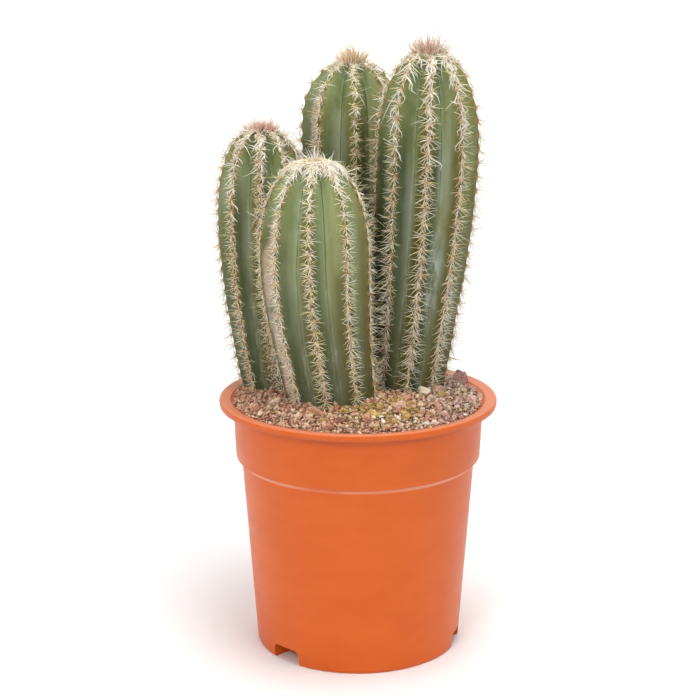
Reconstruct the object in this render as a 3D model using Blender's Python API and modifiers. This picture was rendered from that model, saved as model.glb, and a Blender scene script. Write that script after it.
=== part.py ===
"""A potted columnar cactus: four ribbed, spiny stems in gritty soil, in a round plastic nursery pot.

Metres, +Z up. The origin is the middle of the pot's underside, on the surface that it stands on.
The front is -Y. A turn is an angle in degrees from the front towards +X.
"""

import math
import random

import bmesh
import bpy
from mathutils import Matrix, Vector, noise

MM = 0.001

# The pot, a turned shell with a flat rim, a wider collar and a tapered body
RIM_TOP = 156.7 * MM
RIM_RADIUS = 85.0 * MM
RIM_INNER_RADIUS = 78.3 * MM
RIM_FLARE = 1.8 * MM
LIP_DEPTH = 4.4 * MM
COLLAR_TOP_RADIUS = 76.7 * MM
COLLAR_FOOT_RADIUS = 75.1 * MM
COLLAR_FOOT = 119.6 * MM
BODY_TOP_RADIUS = 71.8 * MM
BODY_TOP = 118.6 * MM
FOOT_RADIUS = 63.3 * MM
WALL = 1.8 * MM
FLOOR = 2.4 * MM
ROUND_SEGMENTS = 48

# Three drainage channels run in from the foot, and each has a hole in its roof
CHANNEL_TURNS = (-44.0, 76.0, 196.0)
CHANNEL_WIDTH = 21.0 * MM
CHANNEL_HEIGHT = 9.5 * MM
CHANNEL_INNER_END = 40.0 * MM
CHANNEL_CORNER = 3.5 * MM
DRAIN_RADIUS = 4.0 * MM
DRAIN_FROM_AXIS = 50.0 * MM

# The soil, mounded round the stems
CLEARANCE = 0.3 * MM
SOIL_TOP = 160.5 * MM
SOIL_FALL = 6.5 * MM
SOIL_ROUGHNESS = 0.9 * MM
SOIL_RINGS = 8
HOLE_CLEARANCE = 0.4 * MM
GRAVEL_COUNT = 22
GRAVEL_RADII = (2.0 * MM, 3.4 * MM)
GRAVEL_FLATNESS = 0.8
GRAVEL_LIFT = (-0.2, 0.5)
GRAVEL_FROM_RIM = 4.3 * MM
GRAVEL_FROM_STEM = 0.8 * MM
GRAVEL_SPACING = 1.0 * MM
GRAVEL_TRIES = 4000
GRAVEL_SEED = 11
# Stones that stand out: x, y, height of the middle over the soil, half sizes across and up
STONES = (
    (65.3 * MM, 28.6 * MM, 3.2 * MM, 5.2 * MM, 5.0 * MM),
    (40.5 * MM, -11.5 * MM, 1.6 * MM, 4.2 * MM, 3.4 * MM),
    (44.0 * MM, -23.0 * MM, 1.0 * MM, 2.3 * MM, 2.2 * MM),
    (-52.5 * MM, -7.0 * MM, 1.2 * MM, 3.6 * MM, 2.8 * MM),
    (-44.0 * MM, -15.5 * MM, 1.0 * MM, 3.4 * MM, 2.6 * MM),
    (-13.0 * MM, -45.5 * MM, 1.5 * MM, 2.4 * MM, 5.2 * MM),
)

# The stems: foot and head are the axis at the base height and from the straight height up
STEMS = {
    "stem_front": {
        "ribs": 9, "turn": -4.5, "seed": 1,
        "foot": (-15.5 * MM, -14.0 * MM), "head": (-25.3 * MM, -16.0 * MM),
        "base": 157 * MM, "straight": 245 * MM, "shoulder": 244 * MM, "apex": 302 * MM,
        "foot_radius": 26.9 * MM, "radius": 32.4 * MM, "swell": 1.3,
        "tuft": 11.5 * MM,
    },
    "stem_left": {
        "ribs": 9, "turn": 0.0, "seed": 2,
        "foot": (-48.2 * MM, 20.6 * MM), "head": (-59.2 * MM, 35.5 * MM),
        "base": 150 * MM, "straight": 260 * MM, "shoulder": 264 * MM, "apex": 315 * MM,
        "foot_radius": 20.8 * MM, "radius": 27.5 * MM, "swell": 0.7,
        "tuft": 12.5 * MM,
    },
    "stem_right": {
        "ribs": 9, "turn": -2.0, "seed": 3,
        "foot": (30.0 * MM, 16.0 * MM), "head": (42.3 * MM, 12.0 * MM),
        "base": 157 * MM, "straight": 320 * MM, "shoulder": 303 * MM, "apex": 363.5 * MM,
        "foot_radius": 23.2 * MM, "radius": 30.6 * MM, "swell": 1.3,
        "tuft": 17.5 * MM,
    },
    "stem_back": {
        "ribs": 8, "turn": 4.0, "seed": 4,
        "foot": (-3.0 * MM, 50.0 * MM), "head": (-3.8 * MM, 57.5 * MM),
        "base": 157 * MM, "straight": 260 * MM, "shoulder": 311 * MM, "apex": 354 * MM,
        "foot_radius": 21.0 * MM, "radius": 31.4 * MM, "swell": 1.3,
        "tuft": 14 * MM,
    },
}
LEAN_POWER = 1.6
DOME_POWER = 2.4
ROOT_DEPTH = 34 * MM
ROOT_TAPER = 0.45
GROOVE_AT_FOOT = 0.13
GROOVE_AT_APEX = 0.40
CREST_SOFTNESS = 0.25
RIB_STEPS = (0.0, 0.3, 0.65, 1.0, -0.65, -0.3)
SHAFT_RINGS = 7
DOME_RINGS = 6

# The spines, spaced along every rib, and a tuft on each crown
SPINE_STEP = 14 * MM
SPINE_LENGTHS = (6.5 * MM, 9.0 * MM)
SHORTEST_SPINE = 3.5 * MM
# Each lean is outward, sideways and up the rib
SPINE_LEANS = ((0.55, 0.75, -0.35), (0.55, -0.75, -0.35), (0.85, 0.15, -0.45), (0.7, -0.5, 0.4))
SPINE_ROOT_RADIUS = 0.45 * MM
SPINE_SUNK = 1.6 * MM
SPINE_CLEARANCE = 0.6 * MM
SPINE_OVER_SOIL = 4.5 * MM
CROWN_SPINES = 10
CROWN_RADIUS = 5.0 * MM
CROWN_SUNK = 2.5 * MM
CROWN_DEPTH = 4.0 * MM
CROWN_TILTS = (18.0, 48.0)

# Colours are linear, as a Principled shader takes them
TERRACOTTA = (0.753, 0.150, 0.045)
GRIT = (0.402, 0.188, 0.127)
FLESH = (0.156, 0.223, 0.102)
STRAW = (0.730, 0.560, 0.330)


def clear_scene():
    for obj in list(bpy.data.objects):
        bpy.data.objects.remove(obj, do_unlink=True)


def new_collection(name):
    collection = bpy.data.collections.new(name)
    bpy.context.scene.collection.children.link(collection)
    return collection


def new_material(name, colour, roughness, metallic=0.0):
    material = bpy.data.materials.new(name)
    material.use_nodes = True
    shader = material.node_tree.nodes["Principled BSDF"]
    shader.inputs["Base Color"].default_value = (*colour, 1.0)
    shader.inputs["Roughness"].default_value = roughness
    shader.inputs["Metallic"].default_value = metallic
    return material


def direction(turn):
    """The horizontal direction at a turn from the front."""
    angle = math.radians(turn)
    return Vector((math.sin(angle), -math.cos(angle), 0.0))


def add_object(name, mesh, collection, materials=()):
    for material in materials:
        mesh.materials.append(material)
    obj = bpy.data.objects.new(name, mesh)
    collection.objects.link(obj)
    return obj


def hide_as_cutter(obj):
    obj.hide_render = True
    obj.display_type = "WIRE"


def turned(name, profile, collection, materials=()):
    """A profile of (radius, height) points, top to bottom down its outer side, turned about Z."""
    mesh = bpy.data.meshes.new(name)
    points = [(radius, 0.0, height) for radius, height in profile]
    mesh.from_pydata(points, [(i, i + 1) for i in range(len(points) - 1)], [])
    obj = add_object(name, mesh, collection, materials)
    screw = obj.modifiers.new("Turn", "SCREW")
    screw.steps = ROUND_SEGMENTS
    screw.render_steps = ROUND_SEGMENTS
    screw.use_merge_vertices = True
    screw.merge_threshold = 0.00005
    return obj


def bake_modifiers(obj):
    """The object's evaluated mesh, kept as its own, with no modifier left."""
    graph = bpy.context.evaluated_depsgraph_get()
    graph.update()
    mesh = bpy.data.meshes.new_from_object(obj.evaluated_get(graph))
    obj.modifiers.clear()
    obj.data = mesh
    return mesh


def cut(obj, cutter, name):
    boolean = obj.modifiers.new(name, "BOOLEAN")
    boolean.operation = "DIFFERENCE"
    boolean.object = cutter


def join_repeats(obj, repeats):
    """One union of the object with a collection of small pieces, which are then removed."""
    boolean = obj.modifiers.new("Join", "BOOLEAN")
    boolean.operation = "UNION"
    boolean.operand_type = "COLLECTION"
    boolean.collection = repeats
    boolean.solver = "MANIFOLD"
    bake_modifiers(obj)
    for piece in list(repeats.objects):
        bpy.data.objects.remove(piece, do_unlink=True)
    bpy.data.collections.remove(repeats)


def outer_profile():
    """The pot's outside: rim, lip, collar with a flat underside, body and foot."""
    lip_foot = RIM_TOP - LIP_DEPTH
    flange_under = RIM_TOP - 2.8 * MM
    return [
        (0.0, RIM_TOP - 1.1 * MM),
        (RIM_INNER_RADIUS, RIM_TOP - 1.1 * MM),
        (RIM_RADIUS - 1.8 * MM, RIM_TOP),
        (RIM_RADIUS - 0.5 * MM, RIM_TOP - 0.5 * MM),
        (RIM_RADIUS, RIM_TOP - 1.7 * MM),
        (RIM_RADIUS - 0.3 * MM, lip_foot),
        (RIM_RADIUS - WALL, lip_foot),
        (RIM_RADIUS - WALL - 0.4 * MM, flange_under),
        (COLLAR_TOP_RADIUS, flange_under - 0.4 * MM),
        (COLLAR_FOOT_RADIUS, COLLAR_FOOT + 1.6 * MM),
        (COLLAR_FOOT_RADIUS - 0.3 * MM, COLLAR_FOOT + 0.6 * MM),
        (COLLAR_FOOT_RADIUS - 1.0 * MM, COLLAR_FOOT),
        (BODY_TOP_RADIUS + 0.4 * MM, COLLAR_FOOT - 0.3 * MM),
        (BODY_TOP_RADIUS, BODY_TOP),
        (FOOT_RADIUS, 1.0 * MM),
        (FOOT_RADIUS - 0.8 * MM, 0.0),
        (0.0, 0.0),
    ]


def inner_profile(inset=0.0):
    """The pot's inside below its rim, or the same drawn in by an inset, for the soil."""
    flare = RIM_TOP - 1.5 * MM
    points = [
        (RIM_INNER_RADIUS, flare),
        (COLLAR_TOP_RADIUS - WALL, flare - RIM_FLARE),
        (COLLAR_FOOT_RADIUS - WALL, COLLAR_FOOT + 2.4 * MM),
        (BODY_TOP_RADIUS - WALL, BODY_TOP + 2.0 * MM),
        (FOOT_RADIUS - WALL + 0.3 * MM, FLOOR + 3.0 * MM),
        (FOOT_RADIUS - WALL - 1.6 * MM, FLOOR),
    ]
    return [(radius - inset, max(height, FLOOR + inset)) for radius, height in points]


def channel_block(name, turn, grow, start, collection):
    """A long block with its two upper edges rounded, from a start radius out past the wall."""
    length = RIM_RADIUS - start
    width = CHANNEL_WIDTH + 2 * grow
    top = CHANNEL_HEIGHT + grow
    bottom = -2 * MM
    shape = bmesh.new()
    bmesh.ops.create_cube(shape, size=1.0)
    bmesh.ops.scale(shape, verts=shape.verts, vec=(length, width, top - bottom))
    bmesh.ops.translate(
        shape, verts=shape.verts, vec=(start + length / 2, 0.0, (top + bottom) / 2)
    )
    upper = [
        edge
        for edge in shape.edges
        if all(v.co.z > 0 for v in edge.verts)
        and abs(edge.verts[0].co.x - edge.verts[1].co.x) > length / 2
    ]
    bmesh.ops.bevel(
        shape, geom=upper, offset=CHANNEL_CORNER + grow, segments=3, affect="EDGES", profile=0.5
    )
    mesh = bpy.data.meshes.new(name)
    shape.to_mesh(mesh)
    shape.free()
    obj = add_object(name, mesh, collection)
    obj.rotation_euler.z = math.radians(turn - 90)
    hide_as_cutter(obj)
    return obj


def drain_hole(name, turn, collection):
    shape = bmesh.new()
    bmesh.ops.create_cone(
        shape, cap_ends=True, segments=16, radius1=DRAIN_RADIUS, radius2=DRAIN_RADIUS,
        depth=4 * WALL,
    )
    mesh = bpy.data.meshes.new(name)
    shape.to_mesh(mesh)
    shape.free()
    obj = add_object(name, mesh, collection)
    obj.location = direction(turn) * DRAIN_FROM_AXIS + Vector((0, 0, CHANNEL_HEIGHT + WALL / 2))
    hide_as_cutter(obj)
    return obj


def make_pot(parts, cutters):
    """The outside, less a cavity that leaves the channels' roofs standing, less the channels."""
    plastic = new_material("terracotta_plastic", TERRACOTTA, 0.42)
    pot = turned("pot", outer_profile(), parts, [plastic])
    above = [(0.0, RIM_TOP + 10 * MM), (RIM_INNER_RADIUS, RIM_TOP + 10 * MM)]
    cavity = turned("cavity", above + inner_profile() + [(0.0, FLOOR)], cutters)
    hide_as_cutter(cavity)
    for i, turn in enumerate(CHANNEL_TURNS, 1):
        roof = channel_block(f"roof_{i}", turn, WALL, CHANNEL_INNER_END - WALL, cutters)
        cut(cavity, roof, f"Roof {i}")
    cut(pot, cavity, "Cavity")
    for i, turn in enumerate(CHANNEL_TURNS, 1):
        cut(pot, channel_block(f"channel_{i}", turn, 0.0, CHANNEL_INNER_END, cutters), f"Channel {i}")
        cut(pot, drain_hole(f"drain_{i}", turn, cutters), f"Drain {i}")
    bake_modifiers(pot)
    pot.data.shade_smooth()
    pot.data.set_sharp_from_angle(angle=math.radians(30))
    return pot


def soil_height(x, y):
    """The soil's smooth mound, without its stones."""
    share = math.hypot(x, y) / RIM_INNER_RADIUS
    return SOIL_TOP - SOIL_FALL * share**4


def stem_centre(stem, height):
    """The axis leans out from the foot and is straight further up."""
    rise = (stem["straight"] - height) / (stem["straight"] - stem["base"])
    lean = min(1.0, max(0.0, rise)) ** LEAN_POWER
    foot, head = stem["foot"], stem["head"]
    return Vector((head[0] + (foot[0] - head[0]) * lean, head[1] + (foot[1] - head[1]) * lean, 0.0))


def stem_radius(stem, height):
    """Over the crests: a buried root end, a shaft that swells upwards, and a domed crown."""
    if height >= stem["shoulder"]:
        rise = min(1.0, (height - stem["shoulder"]) / (stem["apex"] - stem["shoulder"]))
        return stem["radius"] * (1 - rise**DOME_POWER) ** (1 / DOME_POWER)
    if height <= stem["base"]:
        depth = min(1.0, (stem["base"] - height) / ROOT_DEPTH)
        return stem["foot_radius"] * (1 - ROOT_TAPER * depth**2)
    rise = (height - stem["base"]) / (stem["shoulder"] - stem["base"])
    swell = math.sin(0.5 * math.pi * rise ** stem["swell"])
    return stem["foot_radius"] + (stem["radius"] - stem["foot_radius"]) * swell


def groove_depth(stem, height):
    """The share of the radius that the grooves go in: shallow below, deep on the crown."""
    if height < stem["base"]:
        return GROOVE_AT_FOOT * max(0.0, 1 - (stem["base"] - height) / ROOT_DEPTH)
    rise = min(1.0, (height - stem["base"]) / (stem["apex"] - stem["base"]))
    return GROOVE_AT_FOOT + (GROOVE_AT_APEX - GROOVE_AT_FOOT) * rise**1.6


def flank(step):
    """From 0 on a rib's crest to 1 in the groove: a rounded crest and a straight flank."""
    soft = CREST_SOFTNESS
    return (math.hypot(step, soft) - soft) / (math.hypot(1.0, soft) - soft)


def stem_point(stem, height, turn, step=0.0, grow=0.0):
    """A point of the skin, where step says how far the turn is from its crest."""
    radius = stem_radius(stem, height) * (1 - groove_depth(stem, height) * flank(abs(step)))
    point = stem_centre(stem, height) + direction(turn) * (radius + grow)
    point.z = height
    return point


def stem_heights(stem):
    """The heights of the rings: two on the root end, then the shaft, then the dome."""
    heights = [stem["base"] - ROOT_DEPTH, stem["base"] - 0.5 * ROOT_DEPTH]
    shaft = stem["shoulder"] - stem["base"]
    heights += [stem["base"] + shaft * i / SHAFT_RINGS for i in range(SHAFT_RINGS)]
    dome = stem["apex"] - stem["shoulder"]
    angles = [0.49 * math.pi * i / DOME_RINGS for i in range(DOME_RINGS)]
    return heights + [stem["shoulder"] + dome * math.sin(angle) for angle in angles]


def stem_mesh(name, stem, heights, grow=0.0):
    """A loft through the ribbed sections at these heights, closed at both ends."""
    half_rib = 180.0 / stem["ribs"]
    shape = bmesh.new()
    rings = []
    for height in heights:
        ring = []
        for rib in range(stem["ribs"]):
            crest = stem["turn"] + 2 * half_rib * rib
            for step in RIB_STEPS:
                offset = step * half_rib + (2 * half_rib if step < 0 else 0.0)
                point = stem_point(stem, height, crest + offset, step, grow)
                ring.append(shape.verts.new(point))
        rings.append(ring)
    count = len(rings[0])
    for low, high in zip(rings, rings[1:]):
        for i in range(count):
            j = (i + 1) % count
            shape.faces.new((low[i], low[j], high[j], high[i]))
    foot = stem_centre(stem, heights[0])
    foot.z = heights[0] - grow
    tip = stem_centre(stem, heights[-1])
    tip.z = max(heights[-1], stem["apex"])
    foot = shape.verts.new(foot)
    tip = shape.verts.new(tip)
    for i in range(count):
        j = (i + 1) % count
        shape.faces.new((foot, rings[0][j], rings[0][i]))
        shape.faces.new((tip, rings[-1][i], rings[-1][j]))
    mesh = bpy.data.meshes.new(name)
    shape.to_mesh(mesh)
    shape.free()
    return mesh


def make_gravel(repeats):
    """Stones half sunk in the soil, clear of the stems and the rim, from one seeded draw."""
    rng = random.Random(GRAVEL_SEED)
    wall = RIM_INNER_RADIUS - GRAVEL_FROM_RIM
    placed = list(STONES)
    tries = 0
    while len(placed) < len(STONES) + GRAVEL_COUNT and tries < GRAVEL_TRIES:
        tries += 1
        x, y = rng.uniform(-wall, wall), rng.uniform(-wall, wall)
        size = rng.uniform(*GRAVEL_RADII)
        at = Vector((x, y, 0.0))
        near_stem = any(
            (at - stem_centre(stem, SOIL_TOP)).length
            < stem_radius(stem, SOIL_TOP + size) + size + GRAVEL_FROM_STEM
            for stem in STEMS.values()
        )
        near_stone = any(
            math.hypot(x - other[0], y - other[1]) < size + other[3] + GRAVEL_SPACING
            for other in placed
        )
        if math.hypot(x, y) + size > wall or near_stem or near_stone:
            continue
        placed.append((x, y, rng.uniform(*GRAVEL_LIFT) * size, size, GRAVEL_FLATNESS * size))
    for i, (x, y, lift, across, up) in enumerate(placed):
        shape = bmesh.new()
        bmesh.ops.create_icosphere(shape, subdivisions=2 if i == 0 else 1, radius=1.0)
        turn = Matrix.Rotation(rng.uniform(0, math.tau), 4, "Z")
        size = Matrix.Diagonal((across, across * rng.uniform(0.8, 1.0), up, 1.0))
        place = Matrix.Translation((x, y, soil_height(x, y) + lift))
        tumble = Matrix.Rotation(rng.uniform(0, math.tau), 4, "X")
        bmesh.ops.transform(shape, matrix=place @ turn @ size @ tumble, verts=shape.verts)
        mesh = bpy.data.meshes.new(f"stone_{i}")
        shape.to_mesh(mesh)
        shape.free()
        add_object(f"stone_{i}", mesh, repeats)


def make_soil(parts, cutters):
    """A turned fill with a rough mounded top, its stones, and a plain hole for each stem."""
    grit = new_material("pumice_grit", GRIT, 0.9)
    edge = COLLAR_TOP_RADIUS - WALL - CLEARANCE
    top = [(edge * i / SOIL_RINGS, SOIL_TOP) for i in range(SOIL_RINGS + 1)]
    sides = inner_profile(CLEARANCE)[1:]
    soil = turned("soil", top + sides + [(0.0, FLOOR + CLEARANCE)], parts, [grit])
    mesh = bake_modifiers(soil)
    for vertex in mesh.vertices:
        point = vertex.co
        if point.z > SOIL_TOP - 1 * MM:
            inside = 1 - (math.hypot(point.x, point.y) / edge) ** 6
            rough = noise.noise(point * 90) * SOIL_ROUGHNESS * inside
            point.z = soil_height(point.x, point.y) + rough
    repeats = new_collection("gravel")
    make_gravel(repeats)
    join_repeats(soil, repeats)
    for i, turn in enumerate(CHANNEL_TURNS, 1):
        start = CHANNEL_INNER_END - WALL - CLEARANCE
        block = channel_block(f"soil_over_{i}", turn, WALL + CLEARANCE, start, cutters)
        cut(soil, block, f"Over channel {i}")
    for name, stem in STEMS.items():
        heights = [h for h in stem_heights(stem) if h < SOIL_TOP + 30 * MM]
        mesh = stem_mesh(f"hole_{name}", stem, heights, HOLE_CLEARANCE)
        hole = add_object(f"hole_{name}", mesh, cutters)
        hide_as_cutter(hole)
        cut(soil, hole, f"Hole {name}")
    bake_modifiers(soil)
    return soil


def out_of_skin(stem, point):
    """How far a point is outside the stem's crests at its height."""
    if point.z >= stem["apex"]:
        tip = stem_centre(stem, point.z)
        return (point - Vector((tip.x, tip.y, stem["apex"]))).length
    flat = Vector((point.x, point.y, 0.0))
    return (flat - stem_centre(stem, point.z)).length - stem_radius(stem, point.z)


def is_clear(stem, root, tip):
    """A spine stays on its own stem's side of the gap to each neighbour, and off the soil."""
    for share in (0.4, 0.7, 1.0):
        point = root.lerp(tip, share)
        own = max(0.0, out_of_skin(stem, point))
        for other in STEMS.values():
            if other is not stem and out_of_skin(other, point) < own + SPINE_CLEARANCE:
                return False
        if point.z < soil_height(point.x, point.y) + SPINE_OVER_SOIL:
            return False
    return True


def crest_stations(stem, turn):
    """Points along a rib's crest, one every spine step, each with its way up the rib."""
    heights = stem_heights(stem)[2:] + [stem["apex"]]
    fine = []
    for low, high in zip(heights, heights[1:]):
        fine += [low + (high - low) * i / 8 for i in range(8)]
    points = [stem_point(stem, height, turn) for height in fine]
    walked, due, stations = 0.0, 0.0, []
    for a, b in zip(points, points[1:]):
        walked += (b - a).length
        if walked >= due:
            stations.append((a, (b - a).normalized()))
            due += SPINE_STEP
    return stations


def add_spine(repeats, root, tip, index):
    along = tip - root
    shape = bmesh.new()
    bmesh.ops.create_cone(
        shape, cap_ends=True, segments=3, radius1=SPINE_ROOT_RADIUS, radius2=0.0,
        depth=along.length,
    )
    turn = along.to_track_quat("Z", "Y").to_matrix().to_4x4()
    matrix = Matrix.Translation((root + tip) / 2) @ turn
    bmesh.ops.transform(shape, matrix=matrix, verts=shape.verts)
    mesh = bpy.data.meshes.new(f"spine_{index}")
    shape.to_mesh(mesh)
    shape.free()
    obj = add_object(f"spine_{index}", mesh, repeats, [STEM_SKIN, SPINE_STRAW])
    for face in mesh.polygons:
        face.material_index = 1
    return obj


def make_spines(stem, repeats):
    """Spines on every rib, leaning left, right, down and out by turns, then the crown's tuft."""
    rng = random.Random(stem["seed"])
    count = 0
    for rib in range(stem["ribs"]):
        turn = stem["turn"] + 360.0 * rib / stem["ribs"]
        angle = math.radians(turn)
        side = Vector((math.cos(angle), math.sin(angle), 0.0))
        for place, (crest, up) in enumerate(crest_stations(stem, turn)):
            out = side.cross(up)
            lean = SPINE_LEANS[(place + rib) % len(SPINE_LEANS)]
            way = (out * lean[0] + side * lean[1] + up * lean[2]).normalized()
            length = rng.uniform(*SPINE_LENGTHS)
            on_crown = stem["apex"] - crest.z < CROWN_DEPTH
            while length > SHORTEST_SPINE and not is_clear(stem, crest, crest + way * length):
                length -= 1 * MM
            if length <= SHORTEST_SPINE or on_crown:
                continue
            add_spine(repeats, crest - out * SPINE_SUNK, crest + way * length, count)
            count += 1
    tip = stem_centre(stem, stem["apex"])
    tip.z = stem["apex"]
    for i in range(CROWN_SPINES):
        around = direction(stem["turn"] + 360.0 * i / CROWN_SPINES)
        tilt = math.radians(CROWN_TILTS[i % 2])
        way = around * math.sin(tilt) + Vector((0, 0, math.cos(tilt)))
        root = tip + around * CROWN_RADIUS * (0.5 + 0.5 * (i % 2)) - Vector((0, 0, CROWN_SUNK))
        add_spine(repeats, root, root + way * (stem["tuft"] + CROWN_SUNK), count)
        count += 1


def make_stem(name, stem, parts):
    mesh = stem_mesh(name, stem, stem_heights(stem))
    obj = add_object(name, mesh, parts, [STEM_SKIN, SPINE_STRAW])
    repeats = new_collection(f"{name}_spines")
    make_spines(stem, repeats)
    join_repeats(obj, repeats)
    obj.data.shade_smooth()
    obj.data.set_sharp_from_angle(angle=math.radians(35))
    return obj


clear_scene()
PARTS = new_collection("potted_cactus")
CUTTERS = new_collection("cutters")
STEM_SKIN = new_material("stem_skin", FLESH, 0.55)
SPINE_STRAW = new_material("spine_straw", STRAW, 0.6)
make_pot(PARTS, CUTTERS)
make_soil(PARTS, CUTTERS)
for stem_name, stem_sizes in STEMS.items():
    make_stem(stem_name, stem_sizes, PARTS)
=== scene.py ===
# %% [markdown]
# # A potted columnar cactus
#
# Four ribbed stems stand in gritty pumice in a moulded nursery pot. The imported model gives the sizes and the
# places. This script keeps that form, makes every piece finer, and adds what only the eye needs: wool, felt,
# the whole crowd of spines, the grains of the soil and the finish of each surface.

import math
from collections import namedtuple
from types import SimpleNamespace

import bmesh
import bpy
import numpy as np
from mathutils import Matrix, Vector, noise


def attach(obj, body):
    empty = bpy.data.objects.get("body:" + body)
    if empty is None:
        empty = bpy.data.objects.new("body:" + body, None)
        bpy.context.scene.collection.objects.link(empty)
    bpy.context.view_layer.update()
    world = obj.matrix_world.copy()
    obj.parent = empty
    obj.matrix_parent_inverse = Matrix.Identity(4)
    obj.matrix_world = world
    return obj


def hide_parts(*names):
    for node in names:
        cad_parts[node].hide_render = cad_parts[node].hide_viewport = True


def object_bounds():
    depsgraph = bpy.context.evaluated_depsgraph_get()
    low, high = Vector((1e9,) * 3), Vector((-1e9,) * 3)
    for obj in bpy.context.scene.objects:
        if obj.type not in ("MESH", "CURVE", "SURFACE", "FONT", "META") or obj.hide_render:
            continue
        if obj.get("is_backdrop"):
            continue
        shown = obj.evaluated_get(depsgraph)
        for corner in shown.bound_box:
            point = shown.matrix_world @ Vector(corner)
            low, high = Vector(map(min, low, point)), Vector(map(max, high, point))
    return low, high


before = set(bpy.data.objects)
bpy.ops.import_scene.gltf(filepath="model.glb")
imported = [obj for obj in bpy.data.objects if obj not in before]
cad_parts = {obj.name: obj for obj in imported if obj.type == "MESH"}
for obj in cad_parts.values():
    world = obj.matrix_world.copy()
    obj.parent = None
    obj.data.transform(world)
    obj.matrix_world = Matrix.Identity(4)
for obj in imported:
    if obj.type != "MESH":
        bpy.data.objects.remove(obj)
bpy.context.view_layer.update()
MM = 0.001
FULL_TURN = 2 * math.pi

# %% [markdown]
# ## The camera
#
# The rim of the pot is a circle of known size, so the flatness of its ellipse gives how far the camera looks
# down, and the taper of the body gives how near it stands. The lens and the place below come from that fit. It
# is set first because it shows at once whether every later piece falls where it should.

# %% Camera
CAMERA_PLACE = (0.0, -1.012, 0.442)
LOOKS_DOWN = 14.18
LENS = 88.45
# The pot stands ten pixels right of the middle of a picture that is 696 wide
SHIFT = -10 / 696

scene = bpy.context.scene


def new_object(name, data):
    obj = bpy.data.objects.new(name, data)
    scene.collection.objects.link(obj)
    return obj


camera = new_object("camera", bpy.data.cameras.new("camera"))
camera.location = CAMERA_PLACE
camera.rotation_euler = (math.radians(90 - LOOKS_DOWN), 0.0, 0.0)
camera.data.lens = LENS
camera.data.shift_x = SHIFT
scene.camera = camera

# %% [markdown]
# ## Light, floor and film
#
# The plant stands in even studio light with almost no shadow. A white world gives that, and it also puts pale
# edges on the satin plastic, because a surface seen at a slant mirrors what is around it. One broad lamp above
# makes the rim and the crowns a little brighter than the sides, a weak one in front fills the near side, and
# two behind keep the floor white.

# %% World, lamps and floor
WORLD_STRENGTH = 0.64
FLOOR_REACH = 40.0
# Each lamp: where it hangs, where it points, its width and its power
LAMPS = {
    "lamp_above": ((0.2, -0.3, 1.7), (0.0, 0.0, 0.2), 0.8, 15),
    "lamp_far_floor": ((0.0, 6.0, 4.5), (0.0, 9.0, 0.0), 5.0, 420),
    "lamp_front": ((-0.7, -1.7, 1.3), (0.0, 0.0, 0.2), 0.5, 9),
    "lamp_floor": ((0.0, 2.1, 2.6), (0.0, 1.9, 0.0), 2.6, 14),
}

world = bpy.data.worlds.new("studio")
world.use_nodes = True
background = world.node_tree.nodes["Background"].inputs
background["Color"].default_value = (1.0, 1.0, 1.0, 1.0)
background["Strength"].default_value = WORLD_STRENGTH
scene.world = world
scene.view_settings.view_transform = "Standard"

for name, (place, aim, size, watts) in LAMPS.items():
    lamp = bpy.data.lights.new(name, "AREA")
    lamp.shape = "DISK"
    lamp.size = size
    lamp.energy = watts
    obj = new_object(name, lamp)
    obj.location = place
    obj.rotation_euler = (Vector(aim) - Vector(place)).to_track_quat("-Z", "Y").to_euler()

floor_mesh = bpy.data.meshes.new("floor")
corners = [(x * FLOOR_REACH, y * FLOOR_REACH, 0) for x, y in ((-1, -1), (1, -1), (1, 1), (-1, 1))]
floor_mesh.from_pydata(corners, [], [(0, 1, 2, 3)])
floor = new_object("floor", floor_mesh)
floor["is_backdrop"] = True

# %% [markdown]
# ## Helpers for finishes
#
# A finish here is a net of nodes. What a node gives is held as a value, and values can be added, multiplied and
# stretched from one range to another, so a mask is written as a short sum. Then colours are laid over each
# other in turn, each through its own mask, the way paint is.

# %% Values in a net
class Value:
    """What one node gives."""

    def __init__(self, tree, socket):
        self.tree, self.socket = tree, socket

    def __mul__(self, other):
        return node(self.tree, "Math", {0: self, 1: other}, operation="MULTIPLY")

    def __add__(self, other):
        return node(self.tree, "Math", {0: self, 1: other}, operation="ADD")

    def __abs__(self):
        return node(self.tree, "Math", {0: self}, operation="ABSOLUTE")

    def to(self, low, high, to_low=0.0, to_high=1.0):
        """Stretches the range low to high over the range to_low to to_high, and clips what is past it."""
        inputs = {"Value": self, "From Min": low, "From Max": high, "To Min": to_low, "To Max": to_high}
        return node(self.tree, "MapRange", inputs, "Result")

    def band(self, low, high, soft):
        """1 from low to high, easing to 0 over a soft margin on both sides."""
        return self.to(low - soft, low) * self.to(high + soft, high)

    def colours(self, *stops):
        """A row of colours, each at its place from 0 to 1, read where this value says."""
        made = node(self.tree, "ValToRGB", {"Fac": self}, "Color")
        row = made.socket.node.color_ramp.elements
        while len(row) < len(stops):
            row.new(0.5)
        for element, (place, colour) in zip(row, stops):
            element.position = place
            element.color = (*colour, 1.0)
        return made


def node(tree, kind, inputs, output=0, **settings):
    """Adds a node with its settings. Each input is a plain number or row of them, or a Value."""
    made = tree.nodes.new("ShaderNode" + kind)
    for key, value in settings.items():
        setattr(made, key, value)
    for socket, value in inputs.items():
        if isinstance(value, Value):
            tree.links.new(value.socket, made.inputs[socket])
        else:
            made.inputs[socket].default_value = value
    return Value(tree, made.outputs[output])


def blend(share, low, high, how="MIX"):
    """The low colour where the share is 0 and the high one where it is 1."""
    tree = next(v.tree for v in (share, low, high) if isinstance(v, Value))
    low, high = (v if isinstance(v, Value) else (*v, 1.0) for v in (low, high))
    return node(tree, "Mix", {0: share, 6: low, 7: high}, 2, data_type="RGBA", blend_type=how)


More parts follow.
